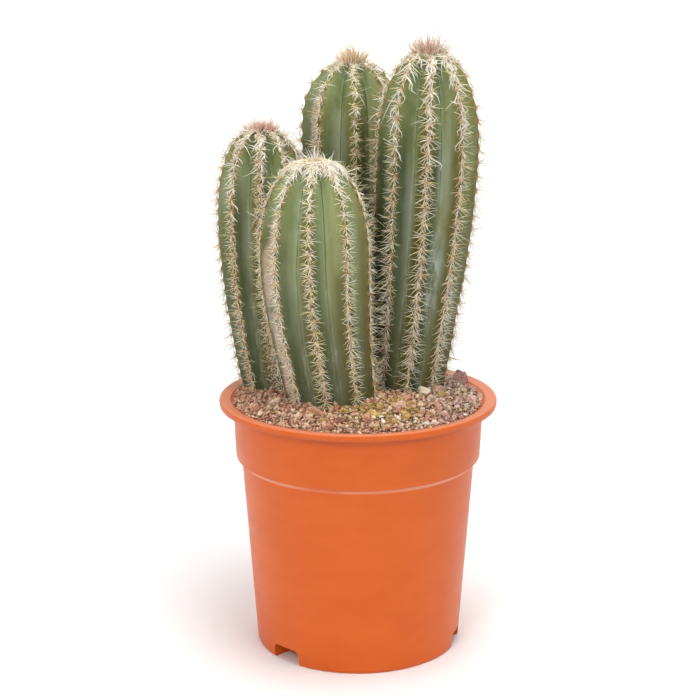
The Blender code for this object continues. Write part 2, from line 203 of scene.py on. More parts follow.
def lay(base, *layers):
    """A colour with others laid over it in turn, each given as its share and its colour."""
    for share, colour in layers:
        base = blend(share, base, colour)
    return base


# %% A finish in the making
class Net:
    """A Principled material, with its constant sockets set on the shader itself."""

    def __init__(self, name, **settings):
        self.finish = bpy.data.materials.new(name)
        self.finish.use_nodes = True
        self.tree = self.finish.node_tree
        self.shader = self.tree.nodes["Principled BSDF"]
        for socket, value in settings.items():
            self.shader.inputs[socket.replace("_", " ")].default_value = value

    def read(self, name):
        """A number that the mesh carries at each of its points."""
        return node(self.tree, "Attribute", {}, "Fac", attribute_name=name)

    def place(self):
        """The point's place, in the object's own metres."""
        return node(self.tree, "TexCoord", {}, "Object")

    def axis(self, vector, axis):
        return node(self.tree, "SeparateXYZ", {"Vector": vector}, axis)

    def grain(self, scale, detail=4.0, stretch=(1.0, 1.0, 1.0), roughness=0.55):
        """Noise in the object's own metres. A stretch under 1 draws it out along that axis."""
        place = node(self.tree, "Mapping", {"Vector": self.place(), "Scale": stretch}, "Vector")
        inputs = {"Vector": place, "Scale": scale, "Detail": detail, "Roughness": roughness}
        return node(self.tree, "TexNoise", inputs, "Fac")

    def done(self, base, roughness=None, relief=None):
        """Ends the net. A relief is its height, its distance in metres and its strength."""
        made = {"Base Color": base}
        if roughness:
            made["Roughness"] = roughness
        if relief:
            inputs = dict(zip(("Height", "Distance", "Strength"), relief))
            made["Normal"] = node(self.tree, "Bump", inputs, "Normal")
        for socket, value in made.items():
            self.tree.links.new(value.socket, self.shader.inputs[socket])
        return self.finish


paper = Net("studio_paper", Roughness=0.9)
floor_mesh.materials.append(paper.done(blend(paper.grain(3.0), (0.93, 0.93, 0.925), (0.96, 0.96, 0.955))))

# %% [markdown]
# ## Helpers for meshes
#
# Thousands of thin pieces are made as arrays and put into one mesh for each stem. A Python loop over each of
# them would take minutes, and one object for each would fill the scene, so both are avoided.

# %% Mesh helpers
def mesh_piece(name, finish, points, faces, values=None, slot="stem_skin", replaces=()):
    """A piece of the plant from arrays of points and faces, with numbers carried at its points."""
    mesh = bpy.data.meshes.new(name)
    mesh.vertices.add(len(points))
    mesh.vertices.foreach_set("co", np.ascontiguousarray(points, dtype=np.float32).ravel())
    mesh.loops.add(faces.size)
    mesh.loops.foreach_set("vertex_index", np.ascontiguousarray(faces, dtype=np.int32).ravel())
    mesh.polygons.add(len(faces))
    mesh.polygons.foreach_set("loop_start", np.arange(0, faces.size, faces.shape[1], dtype=np.int32))
    for key, numbers in (values or {}).items():
        held = mesh.attributes.new(key, "FLOAT", "POINT")
        held.data.foreach_set("value", np.ascontiguousarray(numbers, dtype=np.float32).ravel())
    mesh.update(calc_edges=True)
    mesh.validate()
    mesh.materials.append(finish)
    mesh.shade_smooth()
    return settle(new_object(name, mesh), replaces)


def settle(obj, replaces=()):
    """Every piece rides on the root body and may stand for CAD nodes."""
    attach(obj, "root")
    if replaces:
        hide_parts(*replaces)
    print(obj.name, len(obj.data.polygons), "faces")
    return obj


def unit(vectors):
    return vectors / np.maximum(np.linalg.norm(vectors, axis=-1, keepdims=True), 1e-12)


def copies(faces, count, size):
    """The faces of one shape, again for each of its copies, whose points follow each other."""
    return (faces[None] + (np.arange(count) * size)[:, None, None]).reshape(-1, faces.shape[1])


def ball(level):
    """A small ball of triangles of radius 1, as arrays."""
    shape = bmesh.new()
    bmesh.ops.create_icosphere(shape, subdivisions=level, radius=1.0)
    points = np.array([v.co[:] for v in shape.verts])
    faces = np.array([[v.index for v in f.verts] for f in shape.faces])
    shape.free()
    return points, faces


# %% Thin tubes
TUBE_SIDES = 3


def thin_tubes(paths, radii, share, lot):
    """Tapering tubes along many paths at once, an array of (tubes, points, 3), with a radius at each point.

    They carry how far along its tube each point is, and each tube's lot, which picks its colour."""
    tubes, stops, _ = paths.shape
    along = unit(np.gradient(paths, axis=1))
    helper = np.where(np.abs(along[:, 0, 2:3]) < 0.8, (0.0, 0.0, 1.0), (1.0, 0.0, 0.0))
    across = unit(np.cross(along[:, 0], helper))
    rings = []
    for i in range(stops):
        across = unit(across - along[:, i] * (across * along[:, i]).sum(1, keepdims=True))
        other = np.cross(along[:, i], across)
        for turn in FULL_TURN * np.arange(TUBE_SIDES) / TUBE_SIDES:
            spoke = across * math.cos(turn) + other * math.sin(turn)
            rings.append(paths[:, i] + spoke * radii[:, i, None])
    faces = []
    for i in range(stops - 1):
        for j in range(TUBE_SIDES):
            a, b = i * TUBE_SIDES + j, i * TUBE_SIDES + (j + 1) % TUBE_SIDES
            faces += [(a, b, b + TUBE_SIDES), (a, b + TUBE_SIDES, a + TUBE_SIDES)]
    last = (stops - 1) * TUBE_SIDES
    for j in range(1, TUBE_SIDES - 1):
        faces += [(0, j + 1, j), (last, last + j, last + j + 1)]
    values = {"along": np.tile(np.repeat(share, TUBE_SIDES), tubes),
              "lot": np.repeat(lot, stops * TUBE_SIDES)}
    points = np.stack(rings, axis=1).reshape(-1, 3)
    return points, copies(np.array(faces), tubes, stops * TUBE_SIDES), values


def bent_paths(roots, ways, length, bend, share):
    """Paths that leave their roots straight and bend more and more towards their ends."""
    reach = length[:, None, None]
    return (roots[:, None] + ways[:, None] * (share[:, None] * reach)
            + bend[:, None] * (share[:, None] ** 2 * reach))


# %% [markdown]
# ## The pot
#
# A nursery pot is injection moulded: a thin tapered shell with a flat rim, a lip that hangs from it, a wider
# collar to stack by, and channels in the foot that let water out. A turned profile makes it all but the
# channels, which are cut. The collar ends in a flat underside, so from above its edge hides the top of the body.
# Every corner of the profile gets a small rounding, because a moulded edge is never sharp and the light
# catches it.

# %% Pot sizes
RIM_TOP = 156.7 * MM
RIM_RADIUS = 85.0 * MM
RIM_INNER = 78.3 * MM
LIP_FOOT = RIM_TOP - 4.4 * MM
COLLAR_TOP = 76.7 * MM
COLLAR_FOOT = 75.1 * MM
COLLAR_END = 119.6 * MM
BODY_TOP_RADIUS = 71.8 * MM
BODY_TOP = 118.6 * MM
FOOT_RADIUS = 63.3 * MM
WALL = 1.8 * MM
FLOOR = 2.4 * MM
TURN_STEPS = 192
CORNER_STEPS = 5

# Each corner is its radius, its height, and how far from it the rounding starts
OUTSIDE = (
    (0.0, RIM_TOP - 1.1 * MM, 0.0),
    (RIM_INNER, RIM_TOP - 1.1 * MM, 0.3 * MM),
    (RIM_RADIUS - 0.7 * MM, RIM_TOP + 0.1 * MM, 0.9 * MM),
    (RIM_RADIUS + 0.1 * MM, RIM_TOP - 1.3 * MM, 0.6 * MM),
    (RIM_RADIUS - 0.3 * MM, LIP_FOOT, 0.4 * MM),
    (RIM_RADIUS - WALL, LIP_FOOT, 0.4 * MM),
    (RIM_RADIUS - WALL - 0.4 * MM, RIM_TOP - 2.8 * MM, 0.5 * MM),
    (COLLAR_TOP, RIM_TOP - 3.2 * MM, 1.0 * MM),
    (COLLAR_FOOT, COLLAR_END, 1.2 * MM),
    (BODY_TOP_RADIUS, COLLAR_END - 0.4 * MM, 0.6 * MM),
    (FOOT_RADIUS, 1.1 * MM, 0.8 * MM),
    (FOOT_RADIUS - 0.9 * MM, 0.0, 0.4 * MM),
    (0.0, 0.0, 0.0),
)
INSIDE = (
    (0.0, RIM_TOP + 10 * MM, 0.0),
    (RIM_INNER, RIM_TOP + 10 * MM, 0.0),
    (RIM_INNER, RIM_TOP - 1.5 * MM, 0.8 * MM),
    (COLLAR_TOP - WALL, RIM_TOP - 3.3 * MM, 0.9 * MM),
    (COLLAR_FOOT - WALL, COLLAR_END + 2.4 * MM, 0.8 * MM),
    (BODY_TOP_RADIUS - WALL, BODY_TOP + 2.0 * MM, 0.8 * MM),
    (FOOT_RADIUS - WALL, FLOOR, 1.5 * MM),
    (0.0, FLOOR, 0.0),
)


# %% Turned shapes
def rounded(corners):
    """The profile through these corners, each eased into an arc."""
    points = []
    for i, (radius, height, ease) in enumerate(corners):
        here = np.array((radius, height))
        if ease == 0:
            points.append(here)
            continue
        start = here + unit(np.array(corners[i - 1][:2]) - here) * ease
        end = here + unit(np.array(corners[i + 1][:2]) - here) * ease
        for t in np.linspace(0, 1, CORNER_STEPS + 1):
            points.append((1 - t) ** 2 * start + 2 * t * (1 - t) * here + t**2 * end)
    return points


def turned(name, corners):
    mesh = bpy.data.meshes.new(name)
    points = [(radius, 0.0, height) for radius, height in rounded(corners)]
    mesh.from_pydata(points, [(i, i + 1) for i in range(len(points) - 1)], [])
    obj = new_object(name, mesh)
    screw = obj.modifiers.new("Turn", "SCREW")
    screw.steps = screw.render_steps = TURN_STEPS
    screw.use_merge_vertices = True
    screw.merge_threshold = 0.02 * MM
    return obj


# %% Channels and drain holes
CHANNELS = (-44.0, 76.0, 196.0)
CHANNEL_WIDTH = 21 * MM
CHANNEL_HEIGHT = 9.5 * MM
CHANNEL_START = 40.0 * MM
CHANNEL_CORNER = 3.5 * MM
DRAIN_RADIUS = 4 * MM
DRAIN_DEPTH = 8 * MM
DRAIN_FROM_AXIS = 50 * MM
# How far a cutter reaches past what it cuts
OVERCUT = 2 * MM


def from_shape(name, shape):
    mesh = bpy.data.meshes.new(name)
    shape.to_mesh(mesh)
    shape.free()
    return new_object(name, mesh)


def channel_block(turn, grow):
    """A long block with rounded upper edges, pointing out at a turn from the front."""
    start = CHANNEL_START - grow
    length = RIM_RADIUS - start
    top = CHANNEL_HEIGHT + grow
    shape = bmesh.new()
    bmesh.ops.create_cube(shape, size=1.0)
    bmesh.ops.scale(shape, verts=shape.verts, vec=(length, CHANNEL_WIDTH + 2 * grow, top + OVERCUT))
    bmesh.ops.translate(shape, verts=shape.verts, vec=(start + length / 2, 0.0, (top - OVERCUT) / 2))
    upper = [e for e in shape.edges if all(v.co.z > 0 for v in e.verts)
             and abs(e.verts[0].co.x - e.verts[1].co.x) > length / 2]
    bmesh.ops.bevel(
        shape, geom=upper, offset=CHANNEL_CORNER + grow, segments=8, affect="EDGES", profile=0.5
    )
    block = from_shape("channel", shape)
    block.rotation_euler.z = math.radians(turn - 90)
    return block


def drain_hole(turn):
    shape = bmesh.new()
    bmesh.ops.create_cone(
        shape, cap_ends=True, segments=40, radius1=DRAIN_RADIUS, radius2=DRAIN_RADIUS, depth=DRAIN_DEPTH
    )
    drill = from_shape("drain", shape)
    angle = math.radians(turn)
    drill.location = (DRAIN_FROM_AXIS * math.sin(angle), -DRAIN_FROM_AXIS * math.cos(angle),
                      CHANNEL_HEIGHT + WALL / 2)
    return drill


# %% Cut the pot
def cut(obj, cutters):
    """Takes the cutters out of the object, and removes them."""
    for cutter in cutters:
        boolean = obj.modifiers.new("Cut", "BOOLEAN")
        boolean.operation = "DIFFERENCE"
        boolean.object = cutter
    graph = bpy.context.evaluated_depsgraph_get()
    graph.update()
    mesh = bpy.data.meshes.new_from_object(obj.evaluated_get(graph))
    obj.modifiers.clear()
    obj.data = mesh
    for cutter in cutters:
        bpy.data.objects.remove(cutter, do_unlink=True)


pot = turned("pot_shell", OUTSIDE)
cavity = turned("cavity", INSIDE)
cut(cavity, [channel_block(turn, WALL) for turn in CHANNELS])
cut(pot, [cavity] + [channel_block(turn, 0.0) for turn in CHANNELS] + [drain_hole(t) for t in CHANNELS])
pot.data.shade_smooth()
pot.data.set_sharp_from_angle(angle=math.radians(35))
settle(pot, ["pot"])

# %% [markdown]
# ## The pot's finish
#
# Terracotta-coloured polypropylene is nearly even in colour. What gives it away as plastic is the satin sheen,
# faint cloudy flow marks that run round the wall and a fine skin of ripples. Light and shade are painted in too: a
# painted highlight on the rim's top, painted shade with smudges of grime under its lip, a thin painted shade on
# the collar's rounded foot, and a pale line of painted light along the body's top edge, which also lifts the shade
# under the collar.

# %% Terracotta plastic
def plastic_finish():
    net = Net("terracotta_plastic", Specular_IOR_Level=0.34)
    height = net.axis(net.place(), "Z")
    from_middle = abs(net.axis(net.place(), "X"))
    facing_up = net.axis(node(net.tree, "NewGeometry", {}, "Normal"), "Z").to(0.25, 0.85)
    clouds = net.grain(26.0, 3.0, (1.0, 1.0, 2.2))
    flow = net.grain(60.0, 5.0, (0.35, 0.35, 3.0))
    fine = net.grain(900.0, 3.0)
    # The rim's top is painted paler where it faces up: a painted highlight of the light from above.
    rim = height.to(RIM_TOP - 3 * MM, RIM_TOP - 1.2 * MM) * facing_up
    # Under the lip a darker band: painted shade, broken by noise into smudges of grime.
    lip_shade_and_grime = height.band(LIP_FOOT - 4.5 * MM, LIP_FOOT + 0.4 * MM, 1.6 * MM)
    # A pale line on the body's top strip, stronger at the sides: painted light, standing for the highlight on that
    # edge and lifting the shade under the collar.
    pale_mark = height.band(BODY_TOP - 1.4 * MM, BODY_TOP - 0.2 * MM, 0.8 * MM) * clouds.to(0.40, 0.60, 0.45, 0.85)
    # A thin darker band on the collar's rounded foot: painted shade, broken by noise.
    edge = height.band(COLLAR_END + 0.1 * MM, COLLAR_END + 0.9 * MM, 0.6 * MM)
    base = lay(
        blend(clouds.to(0.35, 0.68), (0.655, 0.107, 0.004), (0.700, 0.123, 0.008)),
        (flow.to(0.55, 0.80, 0.0, 0.20), (0.740, 0.160, 0.034)),
        (fine.to(0.62, 0.80, 0.0, 0.25), (0.580, 0.090, 0.012)),
        (rim * 0.80, (0.720, 0.250, 0.128)),
        (lip_shade_and_grime * flow.to(0.42, 0.62, 0.10, 0.50), (0.430, 0.085, 0.034)),
        (pale_mark * from_middle.to(18 * MM, 55 * MM, 0.60, 1.0), (0.850, 0.400, 0.260)),
        (edge * flow.to(0.35, 0.60, 0.05, 0.35), (0.560, 0.115, 0.040)),
    )
    ripple = net.grain(55.0, 2.0, (1.0, 1.0, 0.5)) + fine * 0.06
    return net.done(base, flow.to(0.25, 0.80, 0.34, 0.48), (ripple, 0.35 * MM, 0.35))


pot.data.materials.clear()
pot.data.materials.append(plastic_finish())

# %% [markdown]
# ## The form of a stem
#
# A columnar cactus is a ring of ribs round a thick core. Its girth swells from the foot, stays even, and closes
# in a dome. The grooves are shallow near the soil, where the old stem has filled out, and deep at the top.
# Formulas give all of that, so the same functions place the skin, the crests and whatever grows on them.

# %% Stem sizes
# The ribs and the turn of the first one, a seed, then in millimetres the middle at the foot and at the head,
# the heights of the foot, the end of the lean, the shoulder and the apex, and the radius at the foot and at the
# shoulder. The last number is how late the girth swells
Stem = namedtuple("Stem", "ribs turn seed foot head base straight shoulder apex foot_radius radius swell")
STEMS = {
    "stem_front": Stem(9, -4.5, 11, (-15.5, -14.0), (-25.3, -16.0), 157, 245, 244, 302, 26.9, 32.4, 1.3),
    "stem_left": Stem(9, 0.0, 12, (-48.2, 20.6), (-59.2, 35.5), 150, 260, 264, 315, 20.8, 27.5, 0.7),
    "stem_right": Stem(9, -2.0, 13, (30.0, 16.0), (42.3, 12.0), 157, 320, 303, 363.5, 23.2, 30.6, 1.3),
    "stem_back": Stem(8, 4.0, 14, (-3.0, 50.0), (-3.8, 57.5), 157, 260, 311, 354, 21.0, 31.4, 1.3),
}
STEMS = {name: Stem(*row[:3], *(np.array(v) * MM for v in row[3:-1]), row[-1]) for name, row in STEMS.items()}
LEAN_POWER = 1.6
DOME_POWER = 2.4
CREST_SOFTNESS = 0.25
BURIED = 6 * MM
RING_STEP = 1.4 * MM
DOME_RINGS = 40
SOIL_TOP = 160.5 * MM
SOIL_FALL = 6.5 * MM


# %% The formulas
def soil_height(x, y):
    return SOIL_TOP - SOIL_FALL * (np.hypot(x, y) / RIM_INNER) ** 4


def centre_at(stem, z):
    """The axis leans out from the foot and is straight further up."""
    rise = np.clip((stem.straight - z) / (stem.straight - stem.base), 0, 1)
    return stem.head + (stem.foot - stem.head) * rise[..., None] ** LEAN_POWER


def girth_at(stem, z):
    """The radius over the crests."""
    dome = np.clip((z - stem.shoulder) / (stem.apex - stem.shoulder), 0, 1)
    rise = np.clip((z - stem.base) / (stem.shoulder - stem.base), 0, 1)
    swell = np.sin(0.5 * np.pi * rise**stem.swell)
    shaft = stem.foot_radius + (stem.radius - stem.foot_radius) * swell
    return np.where(dome > 0, stem.radius * (1 - dome**DOME_POWER) ** (1 / DOME_POWER), shaft)


def dome_share(stem, reach):
    """How far up its dome a stem is at a distance from its axis: 1 at the tip and 0 at the shoulder."""
    return (1 - (reach / stem.radius) ** DOME_POWER) ** (1 / DOME_POWER)


def rise_at(stem, z):
    return np.clip((z - stem.base) / (stem.apex - stem.base), 0, 1)


def groove_at(stem, z):
    """The share of the radius that the grooves go in."""
    return 0.13 + 0.27 * rise_at(stem, z) ** 1.6


def flank(step):
    """From 0 on a crest to 1 in the groove: a rounded crest and a broad, nearly flat side."""
    return (np.hypot(step, CREST_SOFTNESS) - CREST_SOFTNESS) / (math.hypot(1.0, CREST_SOFTNESS) - CREST_SOFTNESS)


def crest_turn(stem, rib, z):
    """A living rib wanders a little from a straight line."""
    rise = rise_at(stem, z)
    wander = 1.1 * np.sin(FULL_TURN * (0.9 * rise + 0.31 * rib + 0.1 * stem.seed)) * rise
    return stem.turn + 360.0 * rib / stem.ribs + wander


def skin_point(stem, z, turn, step, lift=0.0):
    """Points of the skin at heights and turns, where step says how far each is from its crest."""
    radius = girth_at(stem, z) * (1 - groove_at(stem, z) * flank(np.abs(step))) + lift
    angle = np.radians(turn)
    middle = centre_at(stem, z)
    x = middle[..., 0] + radius * np.sin(angle)
    y = middle[..., 1] - radius * np.cos(angle)
    return np.stack([x, y, np.broadcast_to(z, x.shape)], axis=-1)


# %% Crest lines
def ring_heights(stem):
    """Level rings up the shaft, and closer ones over the dome, where the skin turns over."""
    shaft = np.arange(stem.base - BURIED, stem.shoulder, RING_STEP)
    angles = np.linspace(0, 0.497 * np.pi, DOME_RINGS)
    return np.append(shaft, stem.shoulder + (stem.apex - stem.shoulder) * np.sin(angles))


def crest_line(stem, rib):
    """A crest as points, with its ways along, sideways and outwards, and the length walked."""
    z = ring_heights(stem)
    turn = crest_turn(stem, rib, z)
    points = skin_point(stem, z, turn, np.zeros_like(z))
    angle = np.radians(turn)
    side = np.stack([np.cos(angle), np.sin(angle), np.zeros_like(z)], axis=1)
    along = unit(np.gradient(points, axis=0))
    walked = np.append(0, np.cumsum(np.linalg.norm(np.diff(points, axis=0), axis=1)))
    return {"points": points, "side": side, "along": along, "out": unit(np.cross(side, along)), "walked": walked}


def along_line(line, key, at):
    """A crest's points or ways at lengths along it."""
    return np.stack([np.interp(at, line["walked"], line[key][:, i]) for i in range(3)], axis=1)


# %% [markdown]
# ## The areoles
#
# Areoles are the woolly cushions that carry the spines. They sit in a row on each crest, 6 to 8 mm apart low
# down and up to 10 mm apart higher, and closer together on the crown, where they are newest. Each one stands
# on a small swelling of the rib. They are found by walking up every crest, before the skin is made, because the
# skin has to swell under each of them.

# %% Areole places
# From areole to areole low down and high up, and how much the rib swells under each
AREOLE_STEP = {
    "stem_front": (6.1 * MM, 7.4 * MM), "stem_left": (6.3 * MM, 7.4 * MM),
    "stem_right": (6.7 * MM, 9.4 * MM), "stem_back": (8.0 * MM, 9.6 * MM),
}
SWELLING = {"stem_front": 0.6 * MM, "stem_left": 0.5 * MM, "stem_right": 0.7 * MM, "stem_back": 1.0 * MM}
# Within this length of the tip the areoles are young and closer together
YOUNG_LENGTH = 28 * MM
BARE_TIP = 5 * MM


def walk_crest(name, line, rng):
    """The lengths along a crest at which its areoles sit."""
    low, high = AREOLE_STEP[name]
    total = line["walked"][-1]
    at = BURIED + rng.uniform(0.0, low)
    found = []
    while at < total - BARE_TIP:
        found.append(at)
        young = min(1.0, max(0.5, (total - at) / YOUNG_LENGTH))
        at += (low + (high - low) * at / total) * young * rng.uniform(0.93, 1.07)
    return np.array(found)


plants = {}
for name, stem in STEMS.items():
    rng = np.random.default_rng(stem.seed)
    lines = [crest_line(stem, rib) for rib in range(stem.ribs)]
    stops = [walk_crest(name, line, rng) for line in lines]
    areoles = {key: np.concatenate([along_line(line, key, at) for line, at in zip(lines, stops)])
               for key in ("points", "side", "along", "out")}
    areoles["points"] += areoles["out"] * 0.5 * SWELLING[name]
    areoles["rib"] = np.concatenate([np.full(len(at), rib) for rib, at in enumerate(stops)])
    areoles["at"] = np.concatenate(stops)
    areoles["to_tip"] = np.concatenate([line["walked"][-1] - at for line, at in zip(lines, stops)])
    areoles["rise"] = rise_at(stem, areoles["points"][:, 2])
    plants[name] = SimpleNamespace(stem=stem, lines=lines, stops=stops, areoles=areoles)
    print(name, "has", len(areoles["at"]), "areoles")

# %% [markdown]
# ## The skin
#
# The skin is a net of rings and of columns, closer together near each crest, where the form turns sharply. The
# net carries numbers that the finish reads: how far a point is from its crest and on which side, how high it
# is, how close an areole or another stem is, and where the skin is corky, rubbed, fresh or pale.

# %% Marks on the skin
# How dark and brown the skin beside the crests is painted: partly painted shade of the spines, partly old skin
DARK_CRESTS = {"stem_front": 0.74, "stem_left": 0.88, "stem_right": 1.0, "stem_back": 0.80}
# How much the fresh zones take from that
FRESHNESS = 0.75
# How much paler the young upper skin of a stem is
PALER = {"stem_front": 0.45, "stem_back": 0.12, "stem_left": 0.0, "stem_right": 0.0}
# Zones of cork, of wax rubbed to a pale blue, and of flanks that have kept their green. Each zone is the turn of
# its middle and half its width in degrees, and its lowest and highest height in millimetres
ZONES = {
    "stem_front": {"cork": [(-66, 14, 150, 262), (-64, 9, 240, 292)],
                   "rubbed": [(-23, 5, 255, 302), (52, 9, 235, 292)], "fresh": [(29, 6, 235, 310)]},
    "stem_left": {"cork": [(20, 16, 165, 240)], "rubbed": [(20, 10, 215, 262)], "fresh": [(-65, 16, 165, 300)]},
    "stem_right": {"cork": [], "rubbed": [(17, 9, 205, 262), (57, 8, 180, 235)],
                   "fresh": [(63, 14, 165, 400), (23, 6, 165, 400)]},
    "stem_back": {"cork": [(-66, 7, 285, 345)], "rubbed": [], "fresh": []},
}
ZONE_FADE = 15 * MM
NEIGHBOUR_REACH = 24 * MM


def within(zones, turn, z):
    """1 inside the zones, easing to 0 outside them."""
    share = np.zeros(np.broadcast(turn, z).shape)
    for middle, half, low, high in zones:
        across = np.clip(1.4 - np.abs(turn - middle) / half, 0, 1)
        up = np.clip((z - low * MM) / ZONE_FADE, 0, 1) * np.clip((high * MM - z) / ZONE_FADE, 0, 1)
        share = np.maximum(share, across * up)
    return share


def neighbours(name, points):
    """For every other stem: whether points are below its apex, how far from its axis, and its girth there."""
    for other, stem in STEMS.items():
        if other != name:
            away = np.linalg.norm(points[:, :2] - centre_at(stem, points[:, 2]), axis=1)
            yield points[:, 2] < stem.apex, away, girth_at(stem, points[:, 2])


def crowded(name, points):
    """1 where another stem touches, and 0 where none is near."""
    return np.max([np.where(below, 1 - np.clip((away - girth) / NEIGHBOUR_REACH, 0, 1), 0)
                   for below, away, girth in neighbours(name, points)], axis=0)


# %% Skin meshes
COLUMNS = (0.0, 0.05, 0.11, 0.19, 0.31, 0.47, 0.66, 0.86)
STEPS = np.array(COLUMNS + (1.0,) + tuple(-c for c in reversed(COLUMNS[1:])))


def roughen(points, stem):
    """Slow swells and fine unevenness, as grown things have."""
    away = points.copy()
    away[:, :2] -= centre_at(stem, points[:, 2])
    away[:, 2] = 0
    swell = np.array([
        0.35 * noise.noise(p * 45) + 0.16 * noise.noise(p * 160) for p in map(Vector, points.tolist())
    ])
    return points + unit(away) * swell[:, None] * MM


def make_skin(name, plant):
    stem = plant.stem
    z, step = ring_heights(stem), STEPS[:, None]
    rows = {key: [] for key in ("points", "near_areole", "cork", "rubbed", "fresh")}
    for rib, (line, at) in enumerate(zip(plant.lines, plant.stops)):
        gap = np.abs(line["walked"][:, None] - at[None]).min(1)
        local = np.interp(line["walked"], at[:-1], np.diff(at)) / 2
        swelling = (0.5 * np.cos(np.pi * np.clip(gap / local, 0, 1))) * SWELLING[name]
        here = crest_turn(stem, rib, z)
        after = crest_turn(stem, (rib + 1) % stem.ribs, z) + (360 if rib + 1 == stem.ribs else 0)
        before = crest_turn(stem, (rib - 1) % stem.ribs, z) - (360 if rib == 0 else 0)
        turn = here + np.where(step >= 0, step * (after - here) / 2, step * (here - before) / 2)
        rows["points"].append(skin_point(stem, z, turn, step, swelling * np.exp(-((step / 0.15) ** 2))))
        rows["near_areole"].append(np.exp(-((gap / (2.0 * MM)) ** 2)) * np.exp(-((step / 0.13) ** 2)))
        for mark, zones in ZONES[name].items():
            rows[mark].append(within(zones, (turn + 180) % 360 - 180, z))
    # A crest's columns run to both sides of it, so all are put in order round the stem
    order = np.argsort([2 * rib + step for rib in range(stem.ribs) for step in STEPS])
    columns, rings = len(order), len(z)
    rows = {key: np.concatenate(row)[order] for key, row in rows.items()}
    points = roughen(rows.pop("points").reshape(-1, 3), stem)
    i, j = np.meshgrid(np.arange(columns), np.arange(rings - 1), indexing="ij")
    k = (i + 1) % columns
    faces = np.stack([i * rings + j, k * rings + j, k * rings + j + 1, i * rings + j + 1], -1)
    off = np.repeat(np.tile(STEPS, stem.ribs)[order], rings)
    values = {key: row.ravel() for key, row in rows.items()}
    values["dark_crests"] = DARK_CRESTS[name] * (1 - FRESHNESS * values.pop("fresh"))
    values |= {"off_crest": np.abs(off), "turn_side": -off, "rise": np.tile(rise_at(stem, z), columns),
               "paler": np.full(off.size, PALER[name]), "crowded": crowded(name, points)}
    return points, faces.reshape(-1, 4), values


# %% [markdown]
# ## The finish of the skin
#
# The skin is a grey-green under a thin bloom of wax, yellower beside the crests and olive on their left flanks.
# Down each deep groove runs a line of painted shade, and beside it the skin is painted paler, as painted light
# that lifts the groove's shade. Beside the crests the skin is painted dark, partly as painted shade of the spines
# and partly as old skin; between the stems it is browner, with painted shade lower down; and old injuries heal as
# pale cork. The numbers on the mesh say where each of these is, and noise breaks up their edges. Three steps lay
# them over each other: the wax; the painted light and shade at the grooves, with what has worn the skin; and age,
# with the painted shade.

# %% Green and wax
def waxed(at):
    base = at.rise.colours(
        (0.0, (0.082, 0.090, 0.030)), (0.30, (0.110, 0.119, 0.038)), (0.46, (0.142, 0.158, 0.058)),
        (0.60, (0.210, 0.234, 0.092)), (1.0, (0.242, 0.288, 0.100)))
    bloom = at.rise.colours(
        (0.0, (0.150, 0.168, 0.090)), (0.35, (0.168, 0.192, 0.115)), (0.50, (0.225, 0.258, 0.168)),
        (0.70, (0.305, 0.342, 0.240)), (1.0, (0.315, 0.370, 0.205)))
    deep = at.blotch.to(0.46, 0.30) * at.patch.to(0.35, 0.60, 0.3, 1.0)
    beside = at.off.to(0.46, 0.10) * at.patch.to(0.36, 0.58, 0.15, 0.85) * at.rise.to(0.45, 0.80, 0.15, 1.0)
    olive = at.side.to(0.15, 0.75) * at.cloud.to(0.36, 0.58) * at.rise.to(0.30, 0.70, 0.35, 1.0)
    open_side = at.off.band(0.62, 0.90, 0.22) * at.blotch.to(0.38, 0.58, 0.10, 0.70)
    return lay(
        base,
        (at.blotch.to(0.45, 0.62, 0.0, 0.85), bloom),
        (deep * 0.75, (0.085, 0.118, 0.034)),
        (at.patch.to(0.55, 0.75, 0.0, 0.55), (0.150, 0.150, 0.036)),
        (at.streak.to(0.55, 0.75, 0.0, 0.35), (0.340, 0.370, 0.225)),
        (at.streak.to(0.45, 0.25, 0.0, 0.35), (0.085, 0.110, 0.040)),
        (beside, (0.270, 0.250, 0.050)),
        (olive * 0.55, (0.290, 0.290, 0.066)),
        (open_side, bloom),
    )


# %% Painted light and shade at the grooves, scuffs and specks
def worn_and_groove_shaded(at, base):
    # Beside each groove the skin is painted paler: painted light that lifts the groove's shade.
    groove_side_painted_light = at.off.band(0.86, 0.94, 0.08) * at.worn.to(0.46, 0.62, 0.0, 0.45)
    # A dark line down each groove: painted shade in the groove.
    groove = at.off.to(0.935, 0.995) * at.rise.to(0.50, 0.85, 0.25, 0.95) * at.worn.to(0.60, 0.40, 0.35, 1.0)
    under_crown = at.rise.to(0.84, 0.97) * at.off.to(0.25, 0.75)
    pale_mark = at.worn.to(0.60, 0.70) * at.cloud.to(0.46, 0.60)
    speck = at.fleck.to(0.62, 0.74) * at.cloud.to(0.40, 0.62, 0.15, 1.0)
    young = at.paler * at.rise.to(0.30, 0.60) * at.off.to(0.15, 0.45) * at.off.to(0.975, 0.90)
    return lay(
        base,
        (groove_side_painted_light, (0.380, 0.415, 0.280)),
        (groove, (0.034, 0.050, 0.014)),
        (under_crown * 0.60, (0.060, 0.100, 0.030)),
        (pale_mark * 0.55, (0.480, 0.540, 0.440)),
        (speck * 0.60, (0.430, 0.460, 0.310)),
        (young, (0.385, 0.440, 0.205)),
    )
